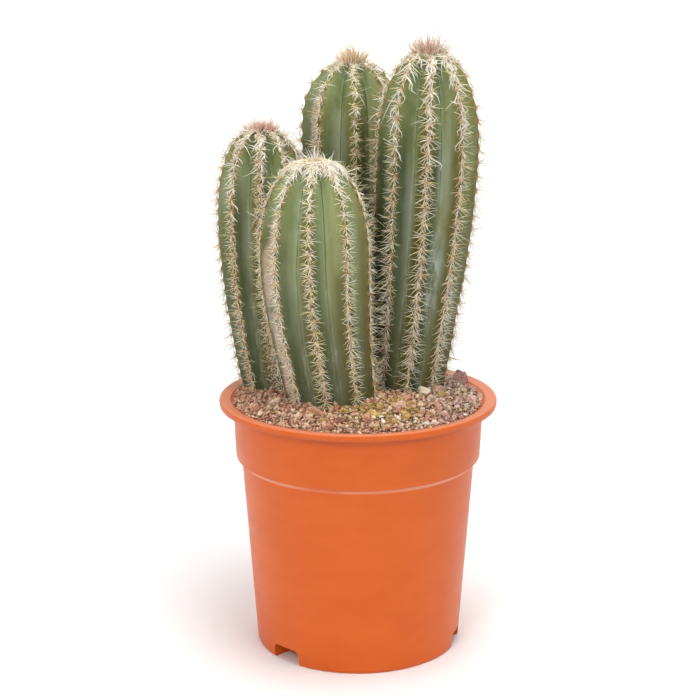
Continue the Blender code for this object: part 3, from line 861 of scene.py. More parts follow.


# %% Painted shade, old crests and cork
def aged_and_shaded(at, base, ragged):
    brown = at.crowded * at.patch.to(0.30, 0.60, 0.75, 1.0)
    shade = brown * at.rise.to(0.70, 0.50)
    # Beside the crests, lower down, the skin is painted dark: partly painted shade of the spines, partly dark old
    # skin.
    crest_shade_and_age = at.off.to(0.90, 0.48) * at.patch.to(0.30, 0.54, 0.68, 1.0)
    crest_shade_and_age = crest_shade_and_age * at.rise.to(0.92, 0.70, 0.25, 1.0) * at.dark_crests
    crest_shade_and_age_tone = blend(at.side.to(-0.10, 0.10), (0.046, 0.066, 0.020), (0.100, 0.080, 0.012))
    wiped = at.rubbed * at.worn.to(0.42, 0.60)
    # Fine dark dots beside the crests: painted shadows of the spines.
    spine_shadow_dots = at.dots.to(0.56, 0.66) * at.off.to(0.55, 0.12, 0.0, 0.85)
    rust = at.off.to(0.14, 0.04) * at.dots.to(0.38, 0.60, 0.25, 0.90) * at.rise.to(0.55, 0.90, 1.0, 0.45)
    cork = blend(at.fleck.to(0.3, 0.7), (0.300, 0.210, 0.150), (0.760, 0.620, 0.520))
    return lay(
        base,
        (brown.to(0.15, 0.75, 0.0, 0.42), (0.300, 0.260, 0.075)),
        (shade.to(0.15, 0.75, 0.0, 0.90), (0.045, 0.036, 0.015)),
        (crest_shade_and_age * 0.94, crest_shade_and_age_tone),
        (wiped * 0.80, (0.420, 0.490, 0.430)),
        (spine_shadow_dots, (0.075, 0.080, 0.022)),
        (rust, (0.130, 0.072, 0.022)),
        (at.near_areole, (0.560, 0.350, 0.180)),
        (ragged.to(0.30, 0.80, 0.0, 0.90), blend(at.patch.to(0.50, 0.64, 0.0, 0.8), cork, (0.430, 0.300, 0.200))),
    )


# %% Stem skin
def skin_finish():
    net = Net("stem_skin", Specular_IOR_Level=0.28)
    numbers = ("rise", "paler", "crowded", "dark_crests", "rubbed", "near_areole")
    at = SimpleNamespace(
        off=net.read("off_crest"), side=net.read("turn_side"), **{name: net.read(name) for name in numbers},
        cloud=net.grain(38.0, 3.0), patch=net.grain(95.0, 4.0, (1.0, 1.0, 0.45)),
        blotch=net.grain(62.0, 5.0, (1.0, 1.0, 0.38), 0.62), streak=net.grain(420.0, 3.0, (1.0, 1.0, 0.07)),
        fleck=net.grain(1500.0, 2.0), worn=net.grain(170.0, 5.0, (1.0, 1.0, 0.30), 0.65),
        dots=net.grain(900.0, 3.0))
    ragged = net.read("cork") * at.patch.to(0.32, 0.56, 0.35, 1.4)
    base = aged_and_shaded(at, worn_and_groove_shaded(at, waxed(at)), ragged)
    relief = at.streak * 0.5 + at.fleck * 0.25 + ragged * 0.5
    return net.done(base, at.cloud.to(0.3, 0.7, 0.46, 0.62), (relief, 0.5 * MM, 0.5))


stem_skin = skin_finish()
for name, plant in plants.items():
    mesh_piece(f"{name}_skin", stem_skin, *make_skin(name, plant), replaces=[name])

# %% [markdown]
# ## Felt
#
# Each areole is a pad of short felt, tan to reddish brown. A pad is about 2 mm across, so a small ball squashed
# onto the crest, with a rough skin of bumps, reads as felt at this size.

# %% Felt pads
# Half a pad's width, length and height
PAD = np.array((0.80, 1.15, 0.42)) * MM


def felt_finish():
    net = Net("felt", Roughness=0.95, Specular_IOR_Level=0.1)
    fuzz = net.grain(2600.0, 2.0)
    base = net.read("lot").colours(
        (0.0, (0.400, 0.180, 0.090)), (0.35, (0.700, 0.450, 0.290)), (0.7, (0.860, 0.680, 0.480)),
        (0.93, (0.930, 0.820, 0.640)), (1.0, (0.760, 0.300, 0.190)))
    base = blend(fuzz.to(0.35, 0.70, 0.0, 0.45), base, (0.780, 0.680, 0.560))
    return net.done(base, relief=(fuzz, 0.4 * MM, 0.8))


felt = felt_finish()
pad_points, pad_faces = ball(1)
for name, plant in plants.items():
    rng = np.random.default_rng(plant.stem.seed + 100)
    areoles, count, size = plant.areoles, len(plant.areoles["at"]), len(pad_points)
    scale = PAD * rng.uniform(0.8, 1.2, (count, 1, 1))
    rough = 1 + rng.uniform(-0.14, 0.14, (count, size, 1))
    sideways, along, out = np.moveaxis(pad_points[None] * scale * rough, -1, 0)[..., None]
    offsets = (areoles["side"][:, None] * sideways + areoles["along"][:, None] * along
               + areoles["out"][:, None] * out)
    places = (areoles["points"][:, None] + offsets).reshape(-1, 3)
    lot = np.repeat(rng.uniform(0, 1, count), size)
    mesh_piece(f"{name}_felt", felt, places, copies(pad_faces, count, size), {"lot": lot})

# %% [markdown]
# ## The spines
#
# From every areole a star of stiff spines spreads over the flanks, with a band of short ones down the crest, a
# few that stand out, and some fine as hair. They are thin cones with a slight bend. In a gap between two stems
# longer ones slant up and down and cross. A spine that would run into the neighbour grows steeper along its own
# crest there, and a little shorter, as on the plant.

# %% Spine finish
def spine_finish():
    net = Net("spine_straw", Roughness=0.38, Specular_IOR_Level=0.5)
    base = net.read("lot").colours(
        (0.00, (0.320, 0.130, 0.040)), (0.15, (0.680, 0.360, 0.170)), (0.30, (0.960, 0.660, 0.440)),
        (0.45, (0.990, 0.860, 0.640)), (0.60, (0.998, 0.950, 0.730)), (0.72, (0.998, 0.985, 0.890)),
        (0.82, (0.990, 0.940, 0.580)), (0.91, (0.940, 0.800, 0.340)), (1.00, (0.680, 0.720, 0.280)))
    return net.done(blend(net.read("along").to(0.12, 0.0, 0.0, 0.30), base, (0.520, 0.250, 0.110)))


# %% Spine kinds
# A kind of spine: how many an areole has, the turn of their middle from straight up the rib and its spread, the
# least and greatest lift off the rib, the shortest and longest as a share of the stem's full length, the least
# and greatest radius at the root, and how far the roots scatter sideways and along, both in millimetres
SIDE, BAND, OUTER, HAIR, CROSS = "side", "band", "outer", "hair", "crossing"
KINDS = {
    SIDE: (13, (106, 34), (6, 30), (0.70, 1.05), (0.15, 0.23), (0.4, 1.5)),
    BAND: (14, (172, 38), (2, 36), (0.24, 0.50), (0.20, 0.34), (0.55, 3.6)),
    OUTER: (3, (118, 50), (30, 70), (0.65, 1.00), (0.14, 0.21), (0.5, 1.4)),
    HAIR: (3, (95, 50), (25, 80), (0.80, 1.40), (0.08, 0.13), (0.5, 1.2)),
    CROSS: (9, (48, 14), (20, 72), (0.90, 1.40), (0.15, 0.21), (0.5, 3.2)),
}
# The full length at the foot and at the apex, in millimetres, then each kind's range of tones low down and high up
SPINES = {
    "stem_front": (7.6, 6.8, {
        SIDE: ((0.58, 0.92), (0.60, 0.92)), BAND: ((0.12, 0.76), (0.34, 0.84)),
        OUTER: ((0.12, 0.70), (0.30, 0.85)), HAIR: ((0.80, 1.00), (0.80, 1.00)),
        CROSS: ((0.38, 0.76), (0.42, 0.78))}),
    "stem_left": (8.2, 7.4, {
        SIDE: ((0.50, 0.95), (0.50, 0.95)), BAND: ((0.02, 0.50), (0.05, 0.60)),
        OUTER: ((0.12, 0.70), (0.20, 0.70)), HAIR: ((0.80, 1.00), (0.00, 0.20)),
        CROSS: ((0.40, 0.74), (0.40, 0.74))}),
    "stem_right": (10.2, 8.0, {
        SIDE: ((0.55, 0.86), (0.70, 1.00)), BAND: ((0.24, 0.76), (0.28, 0.78)),
        OUTER: ((0.10, 0.60), (0.10, 0.60)), HAIR: ((0.60, 0.90), (0.00, 0.12)),
        CROSS: ((0.40, 0.78), (0.44, 0.80))}),
    "stem_back": (8.6, 8.0, {
        SIDE: ((0.66, 1.00), (0.74, 1.00)), BAND: ((0.10, 0.74), (0.46, 0.76)),
        OUTER: ((0.12, 0.70), (0.30, 0.90)), HAIR: ((0.10, 1.00), (0.10, 1.00)),
        CROSS: ((0.02, 0.46), (0.06, 0.60))}),
}
# What is each stem's own: the shares of the count, the thickness and the length, and the scatter of the roots
HABITS = {
    "stem_front": {SIDE: (0.72, 1.00, 0.92, (0.35, 1.8)), BAND: (0.72, 1.05, 1.0, (0.46, 3.4))},
    "stem_left": {SIDE: (0.90, 0.90, 0.70, (0.90, 2.6)), BAND: (1.00, 0.90, 0.9, (1.20, 4.0))},
    "stem_right": {SIDE: (0.82, 0.85, 0.92, (0.45, 3.0)), BAND: (0.82, 1.05, 1.0, (0.55, 4.6))},
    "stem_back": {SIDE: (0.90, 0.85, 0.66, (0.45, 2.8)), BAND: (1.00, 1.00, 1.1, (0.40, 4.6))},
}
# Ribs that carry fewer spines and bristles, and the share that they keep
SPARSE_RIBS = {
    "stem_front": {2: 0.5, 7: 0.6}, "stem_left": {7: 0.1, 2: 0.4}, "stem_right": {2: 0.1, 7: 0.3, 6: 0.5},
    "stem_back": {6: 0.1, 2: 0.4},
}
# Within this length of the tip the spines are young and shorter
YOUNG_SPINES = 22 * MM


# %% Where a spine points
def full_ribs(name, ribs):
    return np.array([SPARSE_RIBS[name].get(int(rib), 1.0) for rib in ribs])


def inside_neighbour(name, points):
    """Whether each point lies well within another stem's crests."""
    return np.any([below & (away < girth * 0.95) for below, away, girth in neighbours(name, points)], axis=0)


def ways_at(areoles, owner, around, off):
    """Ways out of areoles, at a turn from straight up the rib and at a lift off it."""
    side, along, out = (areoles[key][owner] for key in ("side", "along", "out"))
    return (side * (np.sin(around) * np.cos(off))[:, None] + along * (np.cos(around) * np.cos(off))[:, None]
            + out * np.sin(off)[:, None])


def turns_of(kind, owner, middle, spread, rng):
    """Each spine's turn from straight up the rib, in degrees, and where its root sits from -1 low to 1 high."""
    total = len(owner)
    around = rng.choice((-1, 1), total) * rng.normal(middle, spread, total)
    slide = rng.uniform(-1, 1, total)
    if kind == SIDE:
        # These stand in a fan on both sides of the crest, the highest rooted highest
        turn = np.arange(total) - np.searchsorted(owner, owner)
        fan = (turn // 2 + rng.uniform(0.2, 0.8, total)) / np.maximum(1, np.bincount(owner)[owner] / 2) * 2 - 1
        around = np.where(turn % 2, 1, -1) * (middle + 1.55 * spread * fan)
        slide = 0.35 * slide - 0.65 * fan
    if kind == CROSS:
        # Half of these slant up and half down, so that they cross
        around = np.where(rng.random(total) < 0.5, around, np.sign(around) * 180 - around)
    return np.radians(around), slide


# %% Spines
def make_spines(name, plant, kind):
    """One kind of spine on every areole of a stem, each a thin cone with a slight bend."""
    rng = np.random.default_rng([plant.stem.seed, list(KINDS).index(kind)])
    areoles = plant.areoles
    at_foot, at_apex, tones = SPINES[name]
    most, (middle, spread), (flat, steep), (least, greatest), thickness, scatter = KINDS[kind]
    crowd, slim, reach, scatter = HABITS[name].get(kind, (1.0, 1.0, 1.0, scatter))
    full = full_ribs(name, areoles["rib"])
    near = np.clip(2.0 * crowded(name, areoles["points"]) - 0.5, 0, 1)
    chance = {SIDE: (0.45 + 0.5 * full) * (1 - 0.35 * near), BAND: (0.10 + 0.85 * full) * (1 - 0.40 * near),
              CROSS: near}.get(kind, 0.9)
    owner = np.repeat(np.arange(len(full)), rng.binomial(most, chance * crowd, len(full)))
    around, slide = turns_of(kind, owner, middle, spread, rng)
    ways = ways_at(areoles, owner, around, np.radians(rng.uniform(flat, steep, len(owner))))
    rise, side, along = (areoles[key][owner] for key in ("rise", "side", "along"))
    young = np.clip(areoles["to_tip"][owner] / YOUNG_SPINES, 0.6, 1.0)
    length = (at_foot + (at_apex - at_foot) * rise) * MM * rng.uniform(least, greatest, len(owner)) * young * reach
    roots = areoles["points"][owner] + (side * rng.normal(0, scatter[0] * MM, (len(owner), 1))
                                        + along * slide[:, None] * scatter[1] * MM)
    for _ in range(4):
        # A spine that would run into a neighbour grows steeper along its own crest, and a little shorter
        hits = inside_neighbour(name, roots + ways * length[:, None])
        steeper = ways + 0.5 * np.sign((ways * along).sum(1))[:, None] * along
        ways = np.where(hits[:, None], unit(steeper), ways)
        length = np.where(hits, length * 0.85, length)
    kept = ~inside_neighbour(name, roots + ways * length[:, None])
    roots, ways, length, rise = roots[kept], ways[kept], length[kept], rise[kept]
    bend = rng.normal(0, 0.035, (len(roots), 3)) + (0, 0, -0.02)
    share = np.array((0.0, 0.55, 1.0))
    radii = rng.uniform(*thickness, (len(roots), 1)) * slim * MM * np.array((1.0, 0.85, 0.20))
    low, high = np.array(tones[kind])
    tone = low + (high - low) * rise[:, None]
    lot = rng.uniform(tone[:, 0], tone[:, 1])
    return thin_tubes(bent_paths(roots, ways, length, bend, share), radii, share, lot)


spine_straw = spine_finish()
for name, plant in plants.items():
    for kind in KINDS:
        mesh_piece(f"{name}_{kind}_spines", spine_straw, *make_spines(name, plant, kind))

# %% [markdown]
# ## The pale bristles
#
# Near the top of each stem the young crests carry long soft bristles, nearly white, that hang down along the
# rib and curl off to the sides. A straight cone would look like a spine, so each bristle is a thin tube along
# a path that follows its crest, waves from side to side and ends free. Others spread from their areole as rays
# and droop.

# %% Bristle finish
def bristle_finish():
    net = Net("pale_bristle", Roughness=0.5, Specular_IOR_Level=0.2)
    base = net.read("lot").colours(
        (0.0, (0.900, 0.700, 0.500)), (0.3, (0.975, 0.900, 0.740)), (1.0, (0.995, 0.975, 0.910)))
    return net.done(blend(net.read("along").to(0.10, 0.0, 0.0, 0.5), base, (0.640, 0.400, 0.260)))


# %% Strands along the crests
# How far down from the tip they grow, shortest and longest, in millimetres, how many an areole has at most, and
# how curly they are
STRANDS = {
    "stem_front": (40, 6, 14, 7, 1.0), "stem_left": (62, 6, 14, 6, 1.6),
    "stem_right": (72, 9, 19, 7, 2.1), "stem_back": (50, 5, 10, 5, 0.8),
}
# The radius along a long hair, as a share of its thickest
HAIR_TAPER = np.array((1.0, 1.0, 0.95, 0.85, 0.70, 0.50, 0.15))
HAIR_SHARE = np.linspace(0, 1, len(HAIR_TAPER))


def strand_path(line, start, length, curl, beat, rng):
    """A path that runs down its crest, waves with its neighbours, drifts to a side and lifts off the skin."""
    share, (phase, turns) = HAIR_SHARE, beat
    wave = curl * rng.uniform(0.4, 1.2) * MM * np.sin(phase + rng.normal(0, 0.5) + share * turns)
    stray = rng.random() < 0.32
    sideways = rng.choice((-1, 1)) * rng.uniform(0.35, 0.95) if stray else rng.normal(0, 0.18)
    drift = sideways * length * share**1.5
    at = start - length * (share - 0.18 * share**2 * min(1.0, abs(drift[-1]) / (4 * MM)))
    lift = (0.3 + rng.uniform(0.2, 1.1) * np.sin(np.pi * share**0.8) + rng.uniform(-0.2, 0.5) * share) * MM
    return (along_line(line, "points", at) + along_line(line, "side", at) * (wave - wave[0] + drift)[:, None]
            + along_line(line, "out", at) * lift[:, None])


def make_strands(name, plant):
    rng = np.random.default_rng(plant.stem.seed + 300)
    zone, shortest, longest = (v * MM for v in STRANDS[name][:3])
    most, curl = STRANDS[name][3:]
    areoles = plant.areoles
    paths, radii, lots = [], [], []
    for i in np.flatnonzero(areoles["to_tip"] < zone):
        rib, left = areoles["rib"][i], 1 - areoles["to_tip"][i] / zone
        beat = rng.uniform(0, FULL_TURN), rng.uniform(4, 9)
        for _ in range(rng.binomial(most, full_ribs(name, [rib])[0] * min(1.0, 0.15 + 0.95 * left))):
            length = rng.uniform(shortest, shortest + (longest - shortest) * (0.3 + 0.7 * left))
            paths.append(strand_path(plant.lines[rib], areoles["at"][i], length, curl, beat, rng))
            radii.append(rng.uniform(0.18, 0.42) * MM * HAIR_TAPER)
            lots.append(rng.uniform(0, 1))
    return thin_tubes(np.array(paths), np.array(radii), HAIR_SHARE, lots)


# %% Rays round the upper areoles
# How far down from the tip they grow, shortest and longest, in millimetres, and how many an areole has at most
RAYS = {
    "stem_front": (30, 6, 10, 4), "stem_left": (50, 5, 10, 5), "stem_right": (66, 6, 15, 3),
    "stem_back": (50, 5, 9, 3),
}
STUNTED = 3 * MM


def make_rays(name, plant):
    """Long soft spines that spread sideways and down from an areole and droop."""
    rng = np.random.default_rng(plant.stem.seed + 350)
    zone, shortest, longest = (v * MM for v in RAYS[name][:3])
    areoles = plant.areoles
    left = np.clip(1 - areoles["to_tip"] / zone, 0, 1)
    counts = rng.binomial(RAYS[name][3], np.where(left > 0, np.minimum(1.0, 0.2 + 0.8 * left), 0))
    owner = np.repeat(np.arange(len(counts)), counts)
    total, roots = len(owner), areoles["points"][owner]
    around = np.radians(rng.choice((-1, 1), total) * rng.uniform(35, 175, total))
    ways = ways_at(areoles, owner, around, np.radians(rng.uniform(12, 55, total)))
    length = shortest + (longest - shortest) * rng.random(total) ** 1.6
    length = np.where(inside_neighbour(name, roots + ways * length[:, None]), STUNTED, length)
    share = np.linspace(0, 1, 6)
    bend = rng.normal(0, 0.38, (total, 3)) + np.array((0, 0, -0.24)) - areoles["out"][owner] * 0.20
    radii = rng.uniform(0.22, 0.40, (total, 1)) * MM * np.array((1.0, 0.95, 0.85, 0.70, 0.45, 0.12))
    lot = rng.uniform(0.3, 1.0, total)
    return thin_tubes(bent_paths(roots, ways, length, bend, share), radii, share, lot)


pale_bristle = bristle_finish()
for name, plant in plants.items():
    mesh_piece(f"{name}_strands", pale_bristle, *make_strands(name, plant))
for name, plant in plants.items():
    mesh_piece(f"{name}_rays", pale_bristle, *make_rays(name, plant))

# %% [markdown]
# ## The crowns
#
# New spines push up together at the growing tip, and they are coloured while they are young: pink on the tall
# stem, orange on the one behind, brick red on the left one. The front stem's tip is capped with cream wool
# instead. The tuft is a crowd of spines that fan out more towards its edge.

# %% Crown finish
def crown_finish(name, root, tip):
    net = Net(name, Roughness=0.5, Specular_IOR_Level=0.3)
    along = net.read("along")
    pale = blend(along.to(0.0, 0.4), (0.520, 0.360, 0.190), (0.900, 0.800, 0.610))
    return net.done(blend(net.read("lot").to(0.52, 0.64), blend(along.to(0.0, 0.75), root, tip), pale))


# %% Tufts
# Each layer: spines, radius of the patch, shortest and longest in millimetres, widest tilt, how much shorter the
# spines are at its edge, colours of root and tip
CROWNS = {
    "stem_front": {
        "wool": (200, 8, 3, 6, 84, 0.4, (0.860, 0.680, 0.400), (0.980, 0.920, 0.760)),
        "golden": (120, 6, 3, 5, 62, 0.4, (0.640, 0.400, 0.110), (0.900, 0.700, 0.320)),
        "white": (26, 2.0, 5, 12, 30, 0.4, (0.985, 0.960, 0.900), (0.998, 0.996, 0.990)),
    },
    "stem_left": {
        "red": (280, 7.6, 5, 11.5, 46, 0.6, (0.520, 0.120, 0.070), (0.930, 0.480, 0.400)),
        "hair": (26, 7.5, 8, 14, 44, 0.3, (0.240, 0.160, 0.110), (0.560, 0.420, 0.340)),
    },
    "stem_right": {
        "pink": (190, 7.8, 8, 26, 44, 0.70, (0.700, 0.240, 0.200), (0.985, 0.680, 0.630)),
        "tan": (64, 7.0, 8, 26, 38, 0.72, (0.600, 0.420, 0.240), (0.950, 0.860, 0.700)),
        "fringe": (170, 12.0, 4, 9, 70, 0.2, (0.800, 0.580, 0.420), (0.990, 0.920, 0.800)),
        "hair": (34, 8.5, 13, 21, 50, 0.2, (0.160, 0.110, 0.080), (0.380, 0.320, 0.260)),
    },
    "stem_back": {
        "orange": (230, 6.6, 8, 24, 38, 0.70, (0.760, 0.340, 0.120), (0.990, 0.700, 0.400)),
        "blush": (260, 15.0, 4, 9, 50, 0.3, (0.800, 0.560, 0.400), (0.990, 0.880, 0.740)),
        "hair": (16, 7.0, 11, 17, 44, 0.2, (0.240, 0.170, 0.110), (0.560, 0.460, 0.360)),
    },
}
# The front stem's layers of wool are thicker than the others' spines
WOOLLY = {"stem_front": 1.35}
TUFT_ROOT_DEPTH = 0.8 * MM


def make_tuft(stem, thicker, sizes, rng):
    count, patch, shortest, longest, widest, shorter = sizes
    patch, shortest, longest = patch * MM, shortest * MM, longest * MM
    share = np.array((0.0, 0.25, 0.5, 0.75, 1.0))
    reach = patch * np.sqrt(rng.uniform(0, 1, count))
    around = rng.uniform(0, FULL_TURN, count)
    spoke = np.stack([np.cos(around), np.sin(around), np.zeros(count)], 1)
    roots = np.append(centre_at(stem, stem.apex), stem.apex) + spoke * reach[:, None]
    roots[:, 2] -= (stem.apex - stem.shoulder) * (1 - dome_share(stem, reach)) + TUFT_ROOT_DEPTH
    tilt = np.radians(np.clip(widest * reach / patch + rng.normal(0, 13, count), 0, 88))
    ways = spoke * np.sin(tilt)[:, None] + np.array((0, 0, 1.0)) * np.cos(tilt)[:, None]
    length = shortest + (longest - shortest) * rng.random(count) ** 0.9 * (1 - shorter * reach / patch)
    bend = rng.normal(0, 0.14, (count, 3)) + spoke * 0.05
    radii = (rng.uniform(0.12, 0.20, count) * thicker * MM)[:, None] * np.array((1.0, 0.9, 0.75, 0.5, 0.12))
    lot = rng.uniform(0, 1, count)
    return thin_tubes(bent_paths(roots, ways, length, bend, share), radii, share, lot)


for name, layers in CROWNS.items():
    rng = np.random.default_rng(STEMS[name].seed + 400)
    for layer, (*sizes, root, tip) in layers.items():
        finish = crown_finish(f"{name}_{layer}", root, tip)
        mesh_piece(f"{name}_tuft_{layer}", finish, *make_tuft(STEMS[name], WOOLLY.get(name, 1.0), sizes, rng))

# %% The front stem's mat of wool
MAT_HAIRS = 520
MAT_PATCH = 13 * MM
MAT_SHORTEST, MAT_LONGEST = 5 * MM, 12 * MM


def dome_point(stem, reach, turn, lift):
    """Points over the dome at distances from the axis, at turns from the front, a lift above the crests."""
    reach = np.clip(reach, 0.0, 0.999 * stem.radius)
    z = stem.shoulder + (stem.apex - stem.shoulder) * dome_share(stem, reach)
    middle = centre_at(stem, z)
    away = reach + lift * reach / stem.radius
    return np.stack([middle[..., 0] + away * np.sin(turn), middle[..., 1] - away * np.cos(turn), z + lift], -1)


def make_mat(stem, rng):
    """Long fine hairs that leave the tip in all directions, arch over the dome and lie down on it."""
    share, count = HAIR_SHARE, MAT_HAIRS
    start = MAT_PATCH * np.sqrt(rng.uniform(0.02, 1, count))
    turn = np.where(rng.random(count) < 0.30, rng.uniform(0.5, 2.0, count), rng.uniform(0, FULL_TURN, count))
    # Towards the edge of the patch the hairs gather on the ribs
    first, from_rib = np.radians(stem.turn), FULL_TURN / stem.ribs
    rib = first + np.round((turn - first) * stem.ribs / FULL_TURN) * from_rib
    turn = turn + (rib - turn) * 0.90 * np.clip(start / MAT_PATCH, 0, 1)
    length = rng.uniform(MAT_SHORTEST, MAT_LONGEST, count)
    heading = rng.normal(0, 0.55, count)
    way = heading[:, None] + rng.normal(0, 0.9, count)[:, None] * share
    step = length[:, None] / (len(share) - 1)
    outward = np.cumsum(np.cos(way) * step, 1) - np.cos(way[:, :1]) * step
    across = np.cumsum(np.sin(way) * step, 1) - np.sin(way[:, :1]) * step
    reach = start[:, None] + outward
    arch = rng.uniform(0.4, 2.2, count)[:, None] * np.sin(np.pi * share**0.8) + 0.3
    paths = dome_point(stem, reach, turn[:, None] + across / np.maximum(reach, 3 * MM), arch * MM)
    radii = rng.uniform(0.18, 0.36, (count, 1)) * MM * HAIR_TAPER
    return thin_tubes(paths, radii, share, rng.uniform(0.0, 0.8, count))


mesh_piece("stem_front_mat", pale_bristle, *make_mat(STEMS["stem_front"], np.random.default_rng(501)))

# %% [markdown]
# ## The soil
#
# The pot is filled with pumice and crushed lava, pinkish brown, with paler and mustard grains among them. A
# dark bed carries thousands of grains, and each grain is a broken stone, not a ball: a ball is pushed about by
# noise and then cut by a few planes. A dozen such stones, turned and scaled at random, never look alike.

# %% Soil bed
BED_EDGE = 75.8 * MM
BED_FOOT = 11.8 * MM
BED_SINK = 0.8 * MM
BED_RINGS = 70
BED_SPOKES = 192
# The side of the bed, as radius and height
BED_SIDE = [(74.4 * MM, 152.4 * MM), (72.9 * MM, 122.6 * MM), (69.6 * MM, 120.2 * MM), (61.9 * MM, BED_FOOT)]


def bed_height(x, y):
    place = Vector((x, y, 0.0))
    rough = 0.9 * noise.noise(place * 90) + 0.45 * noise.noise(place * 420)
    return float(soil_height(x, y) - BED_SINK + rough * MM)


def make_bed():
    """A closed turned body with a rough mounded top."""
    rows = [(BED_EDGE * i / BED_RINGS, None) for i in range(1, BED_RINGS + 1)] + BED_SIDE
    points = [(0.0, 0.0, SOIL_TOP - BED_SINK)]
    for radius, height in rows:
        for turn in FULL_TURN * np.arange(BED_SPOKES) / BED_SPOKES:
            x, y = radius * math.cos(turn), radius * math.sin(turn)
            points.append((x, y, bed_height(x, y) if height is None else height))
    points.append((0.0, 0.0, BED_FOOT))
    faces = []
    last = 1 + (len(rows) - 1) * BED_SPOKES
    for j in range(BED_SPOKES):
        k = (j + 1) % BED_SPOKES
        faces.append((0, 1 + j, 1 + k))
        for a in range(1, last, BED_SPOKES):
            b = a + BED_SPOKES
            faces += [(a + j, b + j, b + k), (a + j, b + k, a + k)]
        faces.append((len(points) - 1, last + k, last + j))
    return np.array(points), np.array(faces)


def bed_finish():
    net = Net("soil_dust", Roughness=0.95, Specular_IOR_Level=0.1)
    dust = net.grain(500.0, 5.0)
    base = dust.colours(
        (0.30, (0.060, 0.032, 0.022)), (0.50, (0.220, 0.125, 0.080)), (0.70, (0.480, 0.300, 0.200)))
    return net.done(base, relief=(dust, 1.0 * MM, 1.0))


mesh_piece("soil_bed", bed_finish(), *make_bed(), slot="pumice_grit", replaces=["soil"])

# %% Broken stones
STONE_SHAPES = 12
STONE_CUTS = 9


def broken_stone(level, rng):
    """A ball of radius about 1, lumpy and then cut flat on several sides."""
    points, faces = ball(level)
    shift = Vector(rng.uniform(-50, 50, 3).tolist())
    lumps = np.array([noise.noise(Vector(p) * 1.1 + shift) for p in points.tolist()])
    points = points * (1 + 0.60 * lumps[:, None])
    for _ in range(STONE_CUTS):
        way = unit(rng.normal(0, 1, 3))
        over = np.maximum(points @ way - rng.uniform(0.42, 0.80), 0)
        points = points - over[:, None] * way * 0.85
    if level > 2:
        fine = np.array([noise.noise(Vector(p) * 5 + shift) for p in points.tolist()])
        points = points * (1 + 0.05 * fine[:, None])
    return points, faces


def any_turn(rng):
    """A rotation drawn evenly from all there are."""
    basis, upper = np.linalg.qr(rng.normal(0, 1, (3, 3)))
    return basis * np.sign(np.diag(upper))


def heap(name, places, sizes, hues, level, seed, flat=0.8):
    """Many stones in one mesh, each a turned and stretched copy of one of a dozen."""
    rng = np.random.default_rng(seed)
    stones = [broken_stone(level, rng) for _ in range(STONE_SHAPES)]
    count, size = len(places), len(stones[0][0])
    points = np.empty((count, size, 3))
    for i, (place, across) in enumerate(zip(places, sizes)):
        stone = stones[rng.integers(STONE_SHAPES)][0] @ any_turn(rng).T
        squash = np.array((1.0, rng.uniform(0.62, 1.0), flat * rng.uniform(0.8, 1.2)))
        spin = rng.uniform(0, FULL_TURN)
        c, s = math.cos(spin), math.sin(spin)
        points[i] = (stone * squash * across) @ np.array(((c, s, 0), (-s, c, 0), (0, 0, 1))) + place
    values = {"hue": np.repeat(hues, size), "lot": np.repeat(rng.uniform(0, 1, count), size)}
    obj = mesh_piece(name, pumice, points.reshape(-1, 3), copies(stones[0][1], count, size), values, "pumice_grit")
    obj.data.set_sharp_from_angle(angle=math.radians(38))


# %% Stone finish
def stone_finish():
    """One row of colours from dark lava to cream pumice: each stone carries its own place on it."""
    net = Net("pumice_grit", Roughness=0.9, Specular_IOR_Level=0.2)
    pores = node(net.tree, "TexVoronoi", {"Vector": net.place(), "Scale": 1900.0}, "Distance")
    mottle = net.grain(620.0, 4.0)
    to_the_right = net.axis(net.place(), "X").to(30 * MM, 58 * MM)
    base = lay(
        (net.read("hue") + mottle.to(0.3, 0.7, -0.05, 0.05)).colours(
            (0.00, (0.120, 0.055, 0.042)), (0.16, (0.330, 0.150, 0.110)), (0.34, (0.580, 0.275, 0.185)),
            (0.52, (0.800, 0.450, 0.290)), (0.66, (0.960, 0.740, 0.570)), (0.78, (0.500, 0.300, 0.070)),
            (0.88, (0.700, 0.520, 0.200)), (1.00, (0.950, 0.870, 0.730))),
        (mottle.to(0.52, 0.66, 0.0, 0.50), (0.960, 0.740, 0.560)),
        (mottle.to(0.44, 0.32, 0.0, 0.55), (0.300, 0.130, 0.080)),
    )
    base = blend(to_the_right, base, (0.88, 1.00, 1.18), "MULTIPLY")
    base = blend(1.0, base, blend(net.read("lot"), (0.78, 0.74, 0.70), (1.0, 1.0, 1.0)), "MULTIPLY")
    # The pores are painted dark: painted shade in the small holes of the pumice.
    base = blend(pores.to(0.34, 0.06, 0.0, 0.8), base, (0.070, 0.032, 0.022))
    return net.done(base, relief=(mottle * 0.8 + pores.to(0.0, 0.35), 0.35 * MM, 0.9))


pumice = stone_finish()

# %% Stones that stand out and the soil's colours
# In millimetres: x and y, how far the middle is above the soil, radius across and upwards. The last is the hue
STONES = {
    "lava_ball": (65.6, 28.2, 3.4, 6.1, 5.8, 0.24), "pale_stone": (39.2, -11.5, 2.2, 4.6, 4.2, 0.95),
    "grey_ball": (44.0, -23.0, 1.0, 2.3, 2.2, 0.62), "red_stone": (-52.5, -7.0, 1.2, 3.6, 2.8, 0.30),
    "red_stone_low": (-44.0, -15.5, 1.0, 3.4, 2.6, 0.28), "upright_chip": (-13.0, -45.5, 1.5, 2.4, 5.2, 0.36),
}


def patch_at(x, y, middle_x, middle_y, width, depth):
    """1 in the middle of an oval patch of the soil, falling off smoothly round it. All in millimetres."""
    return math.exp(-(((x / MM - middle_x) / width) ** 2) - ((y / MM - middle_y) / depth) ** 2)


